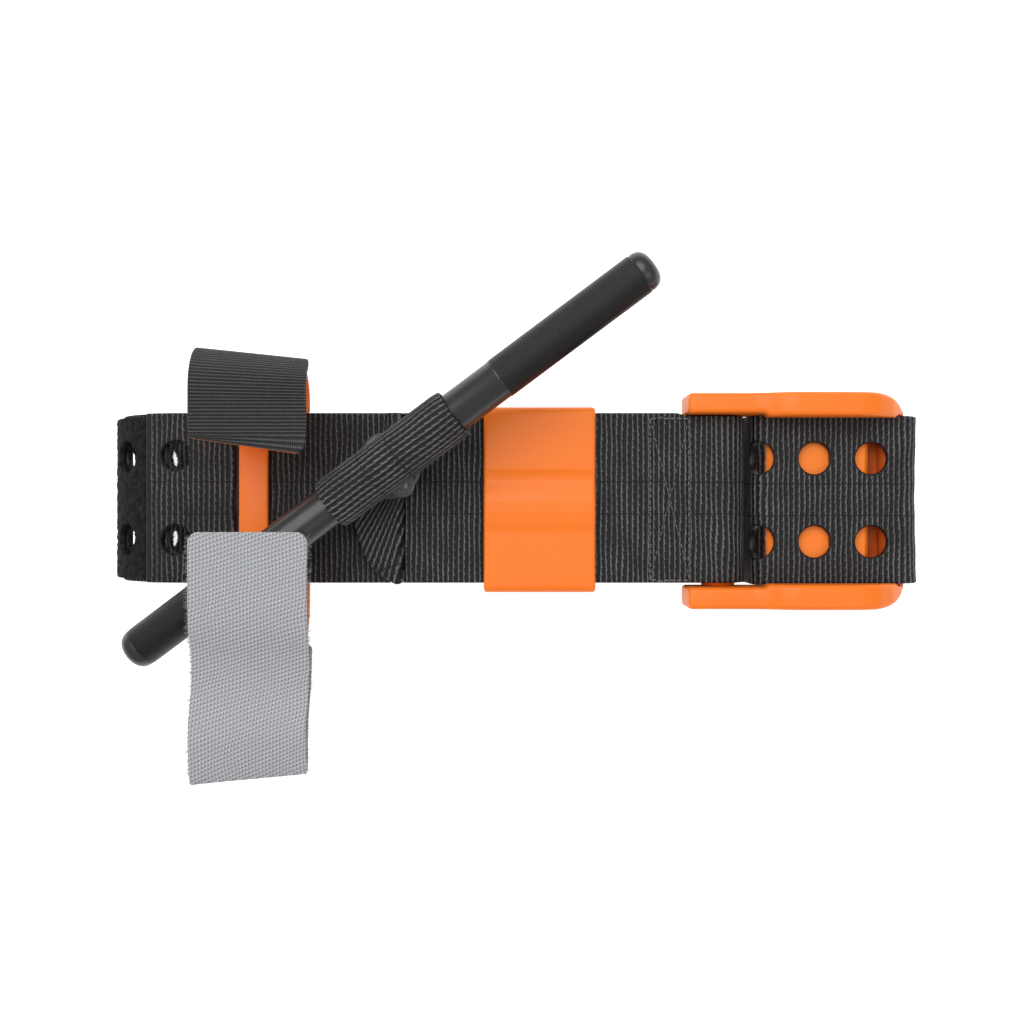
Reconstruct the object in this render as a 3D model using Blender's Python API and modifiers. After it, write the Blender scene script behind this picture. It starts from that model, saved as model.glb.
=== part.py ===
"""Windlass tourniquet, laid flat: webbing loop, windlass in its clip, sliding keeper and auto-lock buckle.

Millimetres in the helpers, metres in the scene. +X runs along the strap towards the buckle, +Y across it,
+Z up. The origin is on the underside of the belt, on its centreline.
"""
import math

import bmesh
import bpy
from mathutils import Matrix, Vector

MM = 0.001
GAP = 0.3  # between pieces that touch

# webbing
WEB_W = 38.1
WEB_T = 1.7
TURN_R = 16.0  # middle of the belt round the left turn
TURN_X = -74.6
TURN_Z = TURN_R + WEB_T / 2
STRAP_R = TURN_R + WEB_T + GAP  # middle of the front strap over the left turn
STRAP_Z = TURN_Z + STRAP_R  # middle of the front strap
H = STRAP_Z + WEB_T / 2  # top face of the front strap
UNDER_Z = STRAP_Z - WEB_T - GAP  # middle of the layer below it
HOLE_R = 3.6
HOLE_ROW = 9.45
HOLE_PITCH = 12.7
PILE_T = 1.2

# right-hand side of the belt, inside the buckle
BELT_Y = -0.4
BELT_W = 37.8
TOP_Z = H - 2.05
BAR_X, BAR_Z = 86.9, 29.5
BAR_TURN_R = 4.15
LOW_X = BAR_X + BAR_TURN_R - TURN_R
DIP_X, DIP_R = 58.5, 3.5

# windlass
ROD_A = Vector((-84.2, -34.7, H + 5.6))
ROD_B = Vector((29.7, 48.8, H + 21.4))
ROD_R = 4.55
TUNNEL_L = 32.0
TUNNEL_R = 5.65
COLLAR_R = 7.45

# windlass clip
CLIP_X0, CLIP_X1 = -68.6, -44.0
CLIP_BAR = (-61.1, -54.6)
ARM_OUT = 32.0
ARM_T = 1.6
ARM_TOP = H + 17.9
ARM_LOW = H - 3.7
TAPE_T = 1.2

# keeper
KEEP_X0, KEEP_X1 = -6.3, 18.6
KEEP_HALF = 20.7
KEEP_Z0, KEEP_Z1 = 30.0, 37.7

# buckle
PIN = (46.8, H - 5.2)
PIN_R = 3.8
RAIL_IN = (-19.85, 18.85)
RAIL_OUT = (-24.7, 23.2)
SLIDER_X = (57.7, 80.6)
PRONG_X = 75.6
ROW_Y = (BELT_Y - 0.1 - HOLE_ROW, BELT_Y - 0.1 + HOLE_ROW)

for old in list(bpy.data.objects):
    bpy.data.objects.remove(old, do_unlink=True)

parts = bpy.data.collections.new("tourniquet")
cutters = bpy.data.collections.new("cutters")
bpy.context.scene.collection.children.link(parts)
bpy.context.scene.collection.children.link(cutters)


def material(name, colour, rough, metal=0.0):
    m = bpy.data.materials.new(name)
    m.use_nodes = True
    b = m.node_tree.nodes["Principled BSDF"]
    b.inputs["Base Color"].default_value = (*colour, 1)
    b.inputs["Roughness"].default_value = rough
    b.inputs["Metallic"].default_value = metal
    m.diffuse_color = (*colour, 1)
    return m


BLACK_WEB = (0.025, 0.025, 0.026)
ORANGE = (0.95, 0.21, 0.04)
GREY = (0.37, 0.38, 0.40)
ALU = (0.045, 0.045, 0.047)
STEEL = (0.45, 0.45, 0.46)


def place(name, mesh, colour, rough, metal=0.0, pivot=None):
    """A part from a mesh in world millimetres-to-metres, with its origin at pivot."""
    o = bpy.data.objects.new(name, mesh)
    mesh.materials.clear()
    mesh.materials.append(material(name + "_material", colour, rough, metal))
    if pivot is not None:
        p = Vector(pivot) * MM
        mesh.transform(Matrix.Translation(-p))
        o.location = p
    parts.objects.link(o)
    return o


def as_cutter(name, mesh):
    o = bpy.data.objects.new(name, mesh)
    cutters.objects.link(o)
    o.hide_render = True
    o.display_type = "WIRE"
    return o


def boolean(o, other, operation):
    m = o.modifiers.new(operation.lower() + "_" + other.name, "BOOLEAN")
    m.operation = operation
    m.object = other
    m.solver = "EXACT"
    return m


def cylinder(bm, at, axis, r, length, segments=12):
    """A capped cylinder centred at a point in millimetres."""
    turn = Vector((0, 0, 1)).rotation_difference(Vector(axis)).to_matrix().to_4x4()
    m = Matrix.Translation(Vector(at) * MM) @ turn
    bmesh.ops.create_cone(bm, cap_ends=True, segments=segments, radius1=r * MM, radius2=r * MM, depth=length * MM, matrix=m)


def cylinders(name, items):
    bm = bmesh.new()
    for item in items:
        cylinder(bm, *item)
    mesh = bpy.data.meshes.new(name)
    bm.to_mesh(mesh)
    bm.free()
    return mesh


def box(name, low, high):
    bm = bmesh.new()
    bmesh.ops.create_cube(bm, size=1.0)
    low, high = Vector(low) * MM, Vector(high) * MM
    size, mid = high - low, (high + low) / 2
    bmesh.ops.transform(bm, matrix=Matrix.Translation(mid) @ Matrix.Diagonal((*size, 1)), verts=bm.verts)
    mesh = bpy.data.meshes.new(name)
    bm.to_mesh(mesh)
    bm.free()
    return mesh


def prism(name, loops, plane, low, high):
    """A flat outline (and its holes) as a filled 2D curve, extruded from low to high along the third axis."""
    curve = bpy.data.curves.new(name, "CURVE")
    curve.dimensions = "2D"
    curve.fill_mode = "BOTH"
    curve.extrude = (high - low) / 2 * MM
    for loop in loops:
        s = curve.splines.new("POLY")
        s.points.add(len(loop) - 1)
        for p, (u, v) in zip(s.points, loop):
            p.co = (u * MM, v * MM, 0, 1)
        s.use_cyclic_u = True
    o = bpy.data.objects.new(name, curve)
    bpy.context.scene.collection.objects.link(o)
    mid = (low + high) / 2 * MM
    if plane == "XY":
        turn = Matrix.Translation((0, 0, mid))
    elif plane == "XZ":
        turn = Matrix.Translation((0, mid, 0)) @ Matrix.Rotation(math.radians(90), 4, "X")
    else:
        turn = Matrix(((0, 0, 1, mid), (1, 0, 0, 0), (0, 1, 0, 0), (0, 0, 0, 1)))
    o.matrix_world = turn
    mesh = bpy.data.meshes.new_from_object(o.evaluated_get(bpy.context.evaluated_depsgraph_get()))
    mesh.transform(turn)
    mesh.name = name
    bm = bmesh.new()
    bm.from_mesh(mesh)
    bmesh.ops.remove_doubles(bm, verts=bm.verts, dist=1e-6)
    bmesh.ops.recalc_face_normals(bm, faces=bm.faces)
    bm.to_mesh(mesh)
    bm.free()
    bpy.data.objects.remove(o, do_unlink=True)
    bpy.data.curves.remove(curve)
    return mesh


def arc(cx, cz, r, a0, a1, n):
    return [(cx + r * math.cos(math.radians(a0 + (a1 - a0) * i / n)), cz + r * math.sin(math.radians(a0 + (a1 - a0) * i / n))) for i in range(n + 1)]


def tidy(points):
    out = []
    for p in points:
        if not out or math.dist(out[-1], p) > 0.02:
            out.append(p)
    return out


def ribbon(name, points, low, high, thick, colour, rough=0.8, plane="XZ", pivot=None):
    """Webbing: the strip swept by a side-on line, from low to high across, with Solidify for its thickness."""
    points = tidy(points)
    bm = bmesh.new()
    rows = []
    for side in (low, high):
        rows.append([bm.verts.new(Vector((u, side, v) if plane == "XZ" else (side, u, v)) * MM) for u, v in points])
    for a, b in zip(rows, rows[1:]):
        for i in range(len(a) - 1):
            bm.faces.new((a[i], a[i + 1], b[i + 1], b[i]))
    mesh = bpy.data.meshes.new(name)
    bm.to_mesh(mesh)
    bm.free()
    o = place(name, mesh, colour, rough, pivot=pivot)
    s = o.modifiers.new("thickness", "SOLIDIFY")
    s.thickness = thick * MM
    s.offset = 0
    s.use_even_offset = True
    return o


def lathe(name, profile, at, axis, segments, colour, rough, metal=0.0):
    """A turned solid: the profile runs from its top to its bottom at +X, and closes on the axis."""
    bm = bmesh.new()
    v = [bm.verts.new((r * MM, 0, z * MM)) for r, z in profile]
    for a, b in zip(v, v[1:]):
        bm.edges.new((a, b))
    mesh = bpy.data.meshes.new(name)
    bm.to_mesh(mesh)
    bm.free()
    o = place(name, mesh, colour, rough, metal)
    o.matrix_world = Matrix.Translation(Vector(at) * MM) @ Vector((0, 0, 1)).rotation_difference(Vector(axis)).to_matrix().to_4x4()
    s = o.modifiers.new("turn", "SCREW")
    s.steps = s.render_steps = segments
    s.axis = "Z"
    s.use_merge_vertices = True
    s.merge_threshold = 1e-6
    s.use_smooth_shade = True
    return o


# ---------------------------------------------------------------- belt: one webbing in five lengths
def turn_point(theta, r=TURN_R):
    """A point on the left turn, theta degrees from its top."""
    t = math.radians(theta)
    return TURN_X - r * math.sin(t), TURN_Z + r * math.cos(t)


def hole_cutter(name, stations, length=6.0, rows=(-HOLE_ROW, HOLE_ROW), r=HOLE_R):
    """Two rows of punched holes; a station is a point on the belt and the direction through it."""
    return as_cutter(name, cylinders(name, [((x, y, z), (dx, 0, dz), r, length, 12) for x, z, dx, dz in stations for y in rows]))


PITCH_A = math.degrees(HOLE_PITCH / TURN_R)
FIRST_A = 2.6
left_stations = []
for i in range(4):
    a = FIRST_A + i * PITCH_A
    x, z = turn_point(a)
    left_stations.append((x, z, -math.sin(math.radians(a)), math.cos(math.radians(a))))
first_low = TURN_X + (FIRST_A + 4 * PITCH_A - 180) * math.pi / 180 * TURN_R
left_stations.append((first_low, WEB_T / 2, 0, 1))

SPLIT_L, SPLIT_R = -68.2, 71.9
belt_left = ribbon("belt_left_turn", [(-69.2, UNDER_Z)] + arc(TURN_X, TURN_Z, TURN_R, 90, 270, 20) + [(SPLIT_L - GAP, WEB_T / 2)],
                   -WEB_W / 2, WEB_W / 2, WEB_T, BLACK_WEB)
boolean(belt_left, hole_cutter("left_turn_holes", left_stations, 4.0), "DIFFERENCE")

pile = ribbon("pile_tape", arc(TURN_X, TURN_Z, TURN_R + WEB_T / 2 + GAP + PILE_T / 2, 90 + 26, 90 + 148, 16),
              -WEB_W / 2 + 0.7, WEB_W / 2 - 0.7, PILE_T, BLACK_WEB, 0.95)
pile_stations = []
for i in range(1, 4):
    a = FIRST_A + i * PITCH_A
    x, z = turn_point(a, TURN_R + 1.75)
    pile_stations.append((x, z, -math.sin(math.radians(a)), math.cos(math.radians(a))))
boolean(pile, hole_cutter("pile_holes", pile_stations, 4.0), "DIFFERENCE")

belt_bottom = place("belt_bottom_run", box("belt_bottom_run", (SPLIT_L, -WEB_W / 2, 0), (SPLIT_R, WEB_W / 2, WEB_T)), BLACK_WEB, 0.8)
low_stations, x = [], first_low + HOLE_PITCH
while x < SPLIT_R - HOLE_R - 1:
    low_stations.append((x, WEB_T / 2, 0, 1))
    x += HOLE_PITCH
boolean(belt_bottom, hole_cutter("bottom_run_holes", low_stations, 4.0), "DIFFERENCE")

belt_right = ribbon("belt_right_turn",
                    [(SPLIT_R + GAP, WEB_T / 2)] + arc(LOW_X, TURN_Z, TURN_R, 270, 360, 10)
                    + arc(BAR_X, BAR_Z, BAR_TURN_R, 0, 90, 8),
                    BELT_Y - BELT_W / 2, BELT_Y + BELT_W / 2, WEB_T, BLACK_WEB)
right_stations = [(BAR_X + BAR_TURN_R, 19.0, 1, 0)]
for a in (14.5, 58.0):
    t = math.radians(a)
    right_stations.append((LOW_X + TURN_R * math.sin(t), TURN_Z - TURN_R * math.cos(t), math.sin(t), -math.cos(t)))
boolean(belt_right, hole_cutter("right_turn_holes", right_stations, 4.0, ROW_Y), "DIFFERENCE")

belt_top = ribbon("belt_top_run",
                  [(BAR_X - GAP, TOP_Z)] + arc(DIP_X, TOP_Z - DIP_R, DIP_R, 90, 180, 8) + [(DIP_X - DIP_R, 27.0)],
                  BELT_Y - BELT_W / 2, BELT_Y + BELT_W / 2, WEB_T, BLACK_WEB)
t = math.radians(50.7)
top_stations = [(80.8, TOP_Z, 0, 1), (68.1, TOP_Z, 0, 1),
                (DIP_X - DIP_R * math.sin(t), TOP_Z - DIP_R + DIP_R * math.cos(t), -math.sin(t), math.cos(t))]
boolean(belt_top, hole_cutter("top_run_holes", top_stations, 4.0, ROW_Y), "DIFFERENCE")

TAIL_Z, TAIL_END = 18.8, 12.0
belt_tail = ribbon("belt_tail",
                   [(DIP_X - DIP_R, 26.7)] + arc(DIP_X - DIP_R - 4, TAIL_Z + 4, 4, 0, -90, 7) + [(TAIL_END, TAIL_Z)],
                   BELT_Y - BELT_W / 2, BELT_Y + BELT_W / 2, WEB_T, BLACK_WEB)
boolean(belt_tail, hole_cutter("tail_holes", [(x, TAIL_Z, 0, 1) for x in (44.0, 31.3, 18.6)], 4.0, ROW_Y), "DIFFERENCE")

# ---------------------------------------------------------------- front strap and the layer under it
under_bar = 33.35
left_path = arc(TURN_X, TURN_Z, STRAP_R, 90 + 25, 90, 4) + [
    (-63.0, STRAP_Z), (-62.3, STRAP_Z - 0.45), (-61.8, under_bar + 0.35), (-61.2, under_bar),
    (-54.5, under_bar), (-53.9, under_bar + 0.35), (-53.4, STRAP_Z - 0.45), (-52.7, STRAP_Z), (-27.3, STRAP_Z)]
front_left = ribbon("front_strap_left", left_path, -WEB_W / 2, WEB_W / 2, WEB_T, BLACK_WEB)
x, z = turn_point(FIRST_A, STRAP_R)
boolean(front_left, hole_cutter("front_strap_holes", [(x, z, 0, 1)], 4.0, r=3.3), "DIFFERENCE")

LOOP_R = PIN_R + GAP + WEB_T / 2
right_path = [(-24.2, STRAP_Z), (37.4, STRAP_Z), (38.6, STRAP_Z), (40.6, STRAP_Z)] + arc(PIN[0], PIN[1], LOOP_R, 108, -160, 20) + [(41.3, 30.7), (40.2, 32.1), (38.8, UNDER_Z - 0.1), (37.4, UNDER_Z), (29.5, UNDER_Z)]
front_right = ribbon("front_strap_right", right_path, -WEB_W / 2, WEB_W / 2, WEB_T, BLACK_WEB)
for v in front_right.data.vertices:  # the loop is drawn in a little between the rails
    if v.co.x > 38 * MM:
        v.co.y = min(v.co.y, 18.4 * MM)

tension_base = place("tension_strap_base", box("tension_strap_base", (-43.6, -16.8, UNDER_Z - WEB_T / 2), (28.6, 16.8, UNDER_Z + WEB_T / 2)), BLACK_WEB, 0.8)

twist_plan = [(-24.4, -18.9), (-26.2, -18.7), (-30.2, -16.9), (-32.6, -13.6), (-34.0, -9.6), (-35.4, -5.6), (-36.0, 0.6),
              (-33.4, 5.2), (-29.2, 11.0), (-27.0, 16.0), (-26.2, 18.7), (-24.4, 18.9)]
tension_twist = place("tension_strap_twist", prism("tension_strap_twist", [twist_plan], "XY", H + 0.3, H + 2.4), BLACK_WEB, 0.8)

# box-and-cross seam that closes the loop round the pin
SEAM = (30.9, 39.7, -18.5, 17.8)
sx0, sx1, sy0, sy1 = SEAM
outer = [(sx0 - 0.25, sy0 - 0.25), (sx1 + 0.25, sy0 - 0.25), (sx1 + 0.25, sy1 + 0.25), (sx0 - 0.25, sy1 + 0.25)]
inner = [(sx0 + 0.25, sy0 + 0.25), (sx0 + 0.25, sy1 - 0.25), (sx1 - 0.25, sy1 - 0.25), (sx1 - 0.25, sy0 + 0.25)]
seam_z = (H + 0.3, H + 0.6)
seam = place("box_seam", prism("box_seam", [outer, inner], "XY", *seam_z), (0.05, 0.05, 0.05), 0.7)
for k, (p, q) in enumerate((((sx0, sy0), (sx1, sy1)), ((sx0, sy1), (sx1, sy0)))):
    d = Vector((q[0] - p[0], q[1] - p[1])).normalized()
    n = Vector((-d.y, d.x)) * 0.25
    bar = [(p[0] - n.x, p[1] - n.y), (q[0] - n.x, q[1] - n.y), (q[0] + n.x, q[1] + n.y), (p[0] + n.x, p[1] + n.y)]
    boolean(seam, as_cutter(f"seam_cross_{k}", prism(f"seam_cross_{k}", [bar], "XY", *seam_z)), "UNION")

# ---------------------------------------------------------------- windlass
MID = (ROD_A + ROD_B) / 2
LENGTH = (ROD_B - ROD_A).length
AXIS = (ROD_B - ROD_A).normalized()
e = LENGTH / 2
half = [(0.0, e), (1.6, e - 0.12), (2.9, e - 0.6), (3.9, e - 1.5), (4.35, e - 2.5), (4.35, e - 3.1), (4.2, e - 3.2), (4.2, e - 3.5), (ROD_R, e - 3.7),
        (ROD_R, e - 40.0), (ROD_R - 0.12, e - 40.2)]
rod = lathe("windlass_rod", half + [(r, -z) for r, z in reversed(half)], MID, AXIS, 24, ALU, 0.35, 0.6)

tube = bmesh.new()
bmesh.ops.create_cone(tube, cap_ends=False, segments=24, radius1=(TUNNEL_R - 0.4) * MM, radius2=(TUNNEL_R - 0.4) * MM, depth=TUNNEL_L * MM)
tube_mesh = bpy.data.meshes.new("tension_strap_tunnel")
tube.to_mesh(tube_mesh)
tube.free()
tunnel = place("tension_strap_tunnel", tube_mesh, BLACK_WEB, 0.8)
tunnel.matrix_world = Matrix.Translation(MID * MM) @ Vector((0, 0, 1)).rotation_difference(AXIS).to_matrix().to_4x4()
s = tunnel.modifiers.new("thickness", "SOLIDIFY")
s.thickness = 0.8 * MM
s.offset = 0
s.use_even_offset = True

collar_mesh = cylinders("windlass_collar", [((MID.x, MID.y, H + 4.2), (0, 0, 1), COLLAR_R, 2.0, 24)])
collar = place("windlass_collar", collar_mesh, ALU, 0.35, 0.6, pivot=(MID.x, MID.y, H + 4.2))
boolean(collar, as_cutter("collar_boss", cylinders("collar_boss", [((MID.x, MID.y, H + 5.6), (0, 0, 1), 5.1, 2.4, 24)])), "UNION")

RIVET_R = 1.8
rivet = place("collar_rivet", cylinders("collar_rivet", [((MID.x, MID.y, H + 6.35), (0, 0, 1), RIVET_R, 6.9, 16)]), STEEL, 0.3, 1.0, pivot=(MID.x, MID.y, H + 6.35))
rivet_hole = as_cutter("rivet_hole", cylinders("rivet_hole", [((MID.x, MID.y, H + 6.35), (0, 0, 1), RIVET_R + 0.3, 7.5, 16)]))
for o in (collar, tunnel, rod):
    boolean(o, rivet_hole, "DIFFERENCE")

# ---------------------------------------------------------------- windlass clip
def arm_loop(lip):
    """The hook's outline, seen along X: floor, outer wall and lip."""
    low_c, top_c = (23.0, ARM_LOW + 9.0), (24.0, ARM_TOP - 8.0)
    outer = [(19.5, ARM_LOW)] + arc(low_c[0], low_c[1], 9.0, -90, 0, 8) + arc(top_c[0], top_c[1], 8.0, 0, 90, 8) + [(lip, ARM_TOP)]
    inner = [(lip, ARM_TOP - ARM_T)] + arc(top_c[0], top_c[1], 8.0 - ARM_T, 90, 0, 8) + arc(low_c[0], low_c[1], 9.0 - ARM_T, 0, -90, 8) + [(19.5, ARM_LOW + ARM_T)]
    return tidy(outer + inner)


CLIP_MID = (CLIP_X0 + CLIP_X1) / 2
LIP_UP, LIP_DOWN = 10.6, 8.0
SLANT, LEAN = 0.155, 0.10


def lean(y, x):
    """The upper hook leans in towards the buckle: its wall by LEAN, the end of its lip by SLANT."""
    if y > 20:
        return y - LEAN * (x - CLIP_X0) * (y - 20) / 12
    if y < 13:
        return y - SLANT * (x - CLIP_MID)
    return y


upper = prism("clip_body", [arm_loop(LIP_UP)], "YZ", CLIP_X0, CLIP_X1)
for v in upper.vertices:
    v.co.y = lean(v.co.y / MM, v.co.x / MM) * MM
clip = place("clip_body", upper, ORANGE, 0.35)
lower = prism("clip_lower_hook", [[(-y, z) for y, z in arm_loop(LIP_DOWN)]], "YZ", CLIP_X0, CLIP_X1)
boolean(clip, as_cutter("clip_lower_hook", lower), "UNION")
for k, (a, b, y, z0, z1) in enumerate((
        (CLIP_X0, -63.6, 21.0, ARM_LOW, ARM_LOW + ARM_T + 0.1),
        (-52.1, CLIP_X1, 21.0, ARM_LOW, ARM_LOW + ARM_T + 0.1),
        (CLIP_BAR[0], CLIP_BAR[1], 22.5, 34.5, 36.4))):
    boolean(clip, as_cutter(f"clip_bar_{k}", box(f"clip_bar_{k}", (a, -y, z0), (b, y, z1))), "UNION")
for k, side in enumerate((-1, 1)):
    y = sorted((side * 19.5, side * 22.5))
    boolean(clip, as_cutter(f"clip_post_{k}", box(f"clip_post_{k}", (CLIP_BAR[0], y[0], ARM_LOW + 0.4), (CLIP_BAR[1], y[1], 36.4))), "UNION")

TAPE_C = (24.0, ARM_TOP - 8.0)
tape_r = 8.0 + GAP + TAPE_T / 2
tape = ribbon("hook_tape", [(ARM_OUT + GAP + TAPE_T / 2, H + 5.0)] + arc(TAPE_C[0], TAPE_C[1], tape_r, 0, 90, 8) + [(LIP_UP + 0.4, ARM_TOP + GAP + TAPE_T / 2)],
              CLIP_X0 + 0.2, CLIP_X1 + 0.6, TAPE_T, (0.05, 0.05, 0.05), 0.9, plane="YZ")
for v in tape.data.vertices:
    v.co.y = lean(v.co.y / MM, v.co.x / MM) * MM

STRAP2 = (-68.4, -43.2)
strap_lip = ribbon("retention_strap_base",
                   [(-7.4, ARM_TOP + 0.9), (-24.0, ARM_TOP + 0.9), (-27.0, ARM_TOP + 0.45), (-30.0, ARM_TOP - 0.7), (-32.9, ARM_TOP - 2.1)],
                   *STRAP2, TAPE_T, GREY, 0.9, plane="YZ")
strap_anchor = ribbon("retention_strap_anchor", [(-ARM_OUT - GAP - TAPE_T / 2, H + 1.6), (-ARM_OUT - GAP - TAPE_T / 2, H + 9.6)],
                      *STRAP2, TAPE_T, GREY, 0.9, plane="YZ")
FLAP = (-33.2, H + 12.2)
tail_loop = [(-33.5, H + 16.2), (-37.0, H + 14.9), (-41.0, H + 14.6), (-46.0, H + 15.5), (-51.0, H + 16.2), (-56.0, H + 15.9), (-59.6, H + 14.9), (-60.4, H + 13.9),
             (-59.6, H + 12.9), (-54.0, H + 13.0), (-48.0, H + 12.8), (-41.0, H + 12.2), (-37.0, H + 12.2), (-33.5, H + 12.6)]
tail_mesh = prism("retention_strap_tail", [tail_loop], "YZ", *STRAP2)
for v in tail_mesh.vertices:
    if v.co.y < -0.050:
        v.co.y += 0.1 * (v.co.x + 0.0558) * (v.co.y / -0.060)
tail = place("retention_strap_tail", tail_mesh, GREY, 0.9, pivot=((STRAP2[0] + STRAP2[1]) / 2, *FLAP))

# ---------------------------------------------------------------- keeper
k_out = arc(KEEP_HALF - 1.5, KEEP_Z0 + 1.5, 1.5, -90, 0, 4) + arc(KEEP_HALF - 1.5, KEEP_Z1 - 1.5, 1.5, 0, 90, 4) + [
    (6.4, KEEP_Z1), (5.2, KEEP_Z1 + 0.35), (3.0, KEEP_Z1 + 0.9), (0.6, KEEP_Z1 + 1.1), (-2.6, KEEP_Z1 + 0.9), (-5.6, KEEP_Z1 + 0.3), (-7.4, KEEP_Z1)] + [
    (-y, z) for y, z in arc(KEEP_HALF - 1.5, KEEP_Z1 - 1.5, 1.5, 90, 0, 4)] + [(-y, z) for y, z in arc(KEEP_HALF - 1.5, KEEP_Z0 + 1.5, 1.5, 0, -90, 4)]
k_in = [(-19.5, 31.6), (-19.5, 36.1), (19.5, 36.1), (19.5, 31.6)]
keeper = place("keeper", prism("keeper", [tidy(k_out), k_in], "YZ", KEEP_X0, KEEP_X1), ORANGE, 0.35, pivot=((KEEP_X0 + KEEP_X1) / 2, 0, STRAP_Z))

# ---------------------------------------------------------------- buckle
rail = [(39.4, 28.0), (40.4, 26.4), (86.0, 26.3), (88.4, 27.8), (88.8, 30.5), (87.6, 35.0), (84.6, 39.0), (80.8, 42.0), (77.0, 43.4), (70.0, 43.7), (62.5, 43.7),
        (59.5, 42.9), (57.0, 41.6), (54.0, 40.8), (42.0, 40.7), (40.0, 39.8), (39.2, 38.0)]
frame_mesh = prism("buckle_frame", [rail], "XZ", RAIL_IN[1], RAIL_OUT[1])
frame = place("buckle_frame", frame_mesh, ORANGE, 0.35, pivot=(PIN[0], 0, PIN[1]))
boolean(frame, as_cutter("rail_lower", prism("rail_lower", [rail], "XZ", RAIL_OUT[0], RAIL_IN[0])), "UNION")
boolean(frame, as_cutter("frame_floor", box("frame_floor", (60.0, RAIL_IN[0] - 0.6, 26.6), (84.5, RAIL_IN[1] + 0.6, 28.3))), "UNION")
mid_y = (RAIL_IN[0] + RAIL_IN[1]) / 2
boolean(frame, as_cutter("frame_end_bar", cylinders("frame_end_bar", [((86.4, mid_y, 29.4), (0, 1, 0), 2.9, RAIL_IN[1] - RAIL_IN[0] + 1.6, 16)])), "UNION")
boolean(frame, as_cutter("pin_bores", cylinders("pin_bores", [((PIN[0], mid_y, PIN[1]), (0, 1, 0), 2.5, 60, 16)])), "DIFFERENCE")

half_in = (RAIL_IN[1] - RAIL_IN[0]) / 2 - GAP
half_out = (RAIL_OUT[1] - RAIL_OUT[0]) / 2
pin_profile = [(0, half_out), (2.0, half_out), (2.2, half_out - 0.2), (2.2, half_in), (PIN_R, half_in), (PIN_R, -half_in), (2.2, -half_in), (2.2, -half_out + 0.2), (2.0, -half_out), (0, -half_out)]
pin = lathe("buckle_pin", pin_profile, (PIN[0], (RAIL_OUT[0] + RAIL_OUT[1]) / 2, PIN[1]), (0, 1, 0), 24, ORANGE, 0.35)

slider_profile = [(SLIDER_X[0] + 0.5, 29.7), (SLIDER_X[1], 29.7), (SLIDER_X[1], 31.7), (SLIDER_X[1] - 0.8, 32.5), (SLIDER_X[0] + 0.6, 32.5), (SLIDER_X[0], 31.9), (SLIDER_X[0], 30.2)]
slider = place("slider_plate", prism("slider_plate", [slider_profile], "XZ", RAIL_IN[0] + 0.5, RAIL_IN[1] - 0.5), ORANGE, 0.35, pivot=(69.0, mid_y, 31.1))
for k, y in enumerate(ROW_Y):
    boolean(slider, as_cutter(f"slider_slot_{k}", box(f"slider_slot_{k}", (71.6, y - 2.0, 28.0), (77.4, y + 2.0, 34.0))), "DIFFERENCE")

prongs = place("lock_prongs", box("lock_prongs", (72.8, ROW_Y[0] - 3.5, 28.6), (78.4, ROW_Y[1] + 3.5, 29.4)), STEEL, 0.3, 1.0)
for k, y in enumerate(ROW_Y):
    boolean(prongs, as_cutter(f"prong_{k}", cylinders(f"prong_{k}", [((PRONG_X, y, 30.65), (0, 0, 1), 1.6, 3.3, 16)])), "UNION")

SPRING_R, WIRE_R, SPRING_TURNS = 1.0, 0.2, 3
for name, y in (("slider_spring_lower", BELT_Y - 5.0), ("slider_spring_upper", BELT_Y + 4.6)):
    x0, x1 = 81.1, 83.4
    curve = bpy.data.curves.new(name, "CURVE")
    curve.dimensions = "3D"
    n = SPRING_TURNS * 10
    sp = curve.splines.new("POLY")
    sp.points.add(n)
    for i, p in enumerate(sp.points):
        a = 2 * math.pi * i / 10
        p.co = ((x0 + (x1 - x0) * i / n) * MM, (y + SPRING_R * math.cos(a)) * MM, (31.1 + SPRING_R * math.sin(a)) * MM, 1)
    curve.bevel_depth = WIRE_R * MM
    curve.bevel_resolution = 1
    curve.use_fill_caps = True
    o = bpy.data.objects.new(name, curve)
    curve.materials.append(material(name + "_material", STEEL, 0.3, 1.0))
    parts.objects.link(o)

# ---------------------------------------------------------------- joint axes, as empties that carry the moving pieces
bpy.context.view_layer.update()


def carry(name, at, objects):
    empty = bpy.data.objects.new(name, None)
    empty.location = Vector(at) * MM
    parts.objects.link(empty)
    bpy.context.view_layer.update()
    for o in objects:
        o.parent = empty
        o.matrix_parent_inverse = empty.matrix_world.inverted()
    return empty


carry("windlass_axis", MID, [rod, tunnel, collar, rivet])
carry("keeper_axis", ((KEEP_X0 + KEEP_X1) / 2, 0, STRAP_Z), [keeper])
carry("buckle_axis", (PIN[0], 0, PIN[1]), [frame, pin, prongs, belt_top, belt_tail, belt_right])
carry("slider_axis", (69.0, mid_y, 31.1), [slider])
carry("flap_axis", ((STRAP2[0] + STRAP2[1]) / 2, *FLAP), [tail])

for o in parts.objects:
    if o.type == "MESH":
        o.data.shade_smooth()
        o.data.set_sharp_from_angle(angle=math.radians(35))
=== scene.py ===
import math

import bmesh
import bpy
import numpy as np
from mathutils import Matrix, Vector


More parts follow.
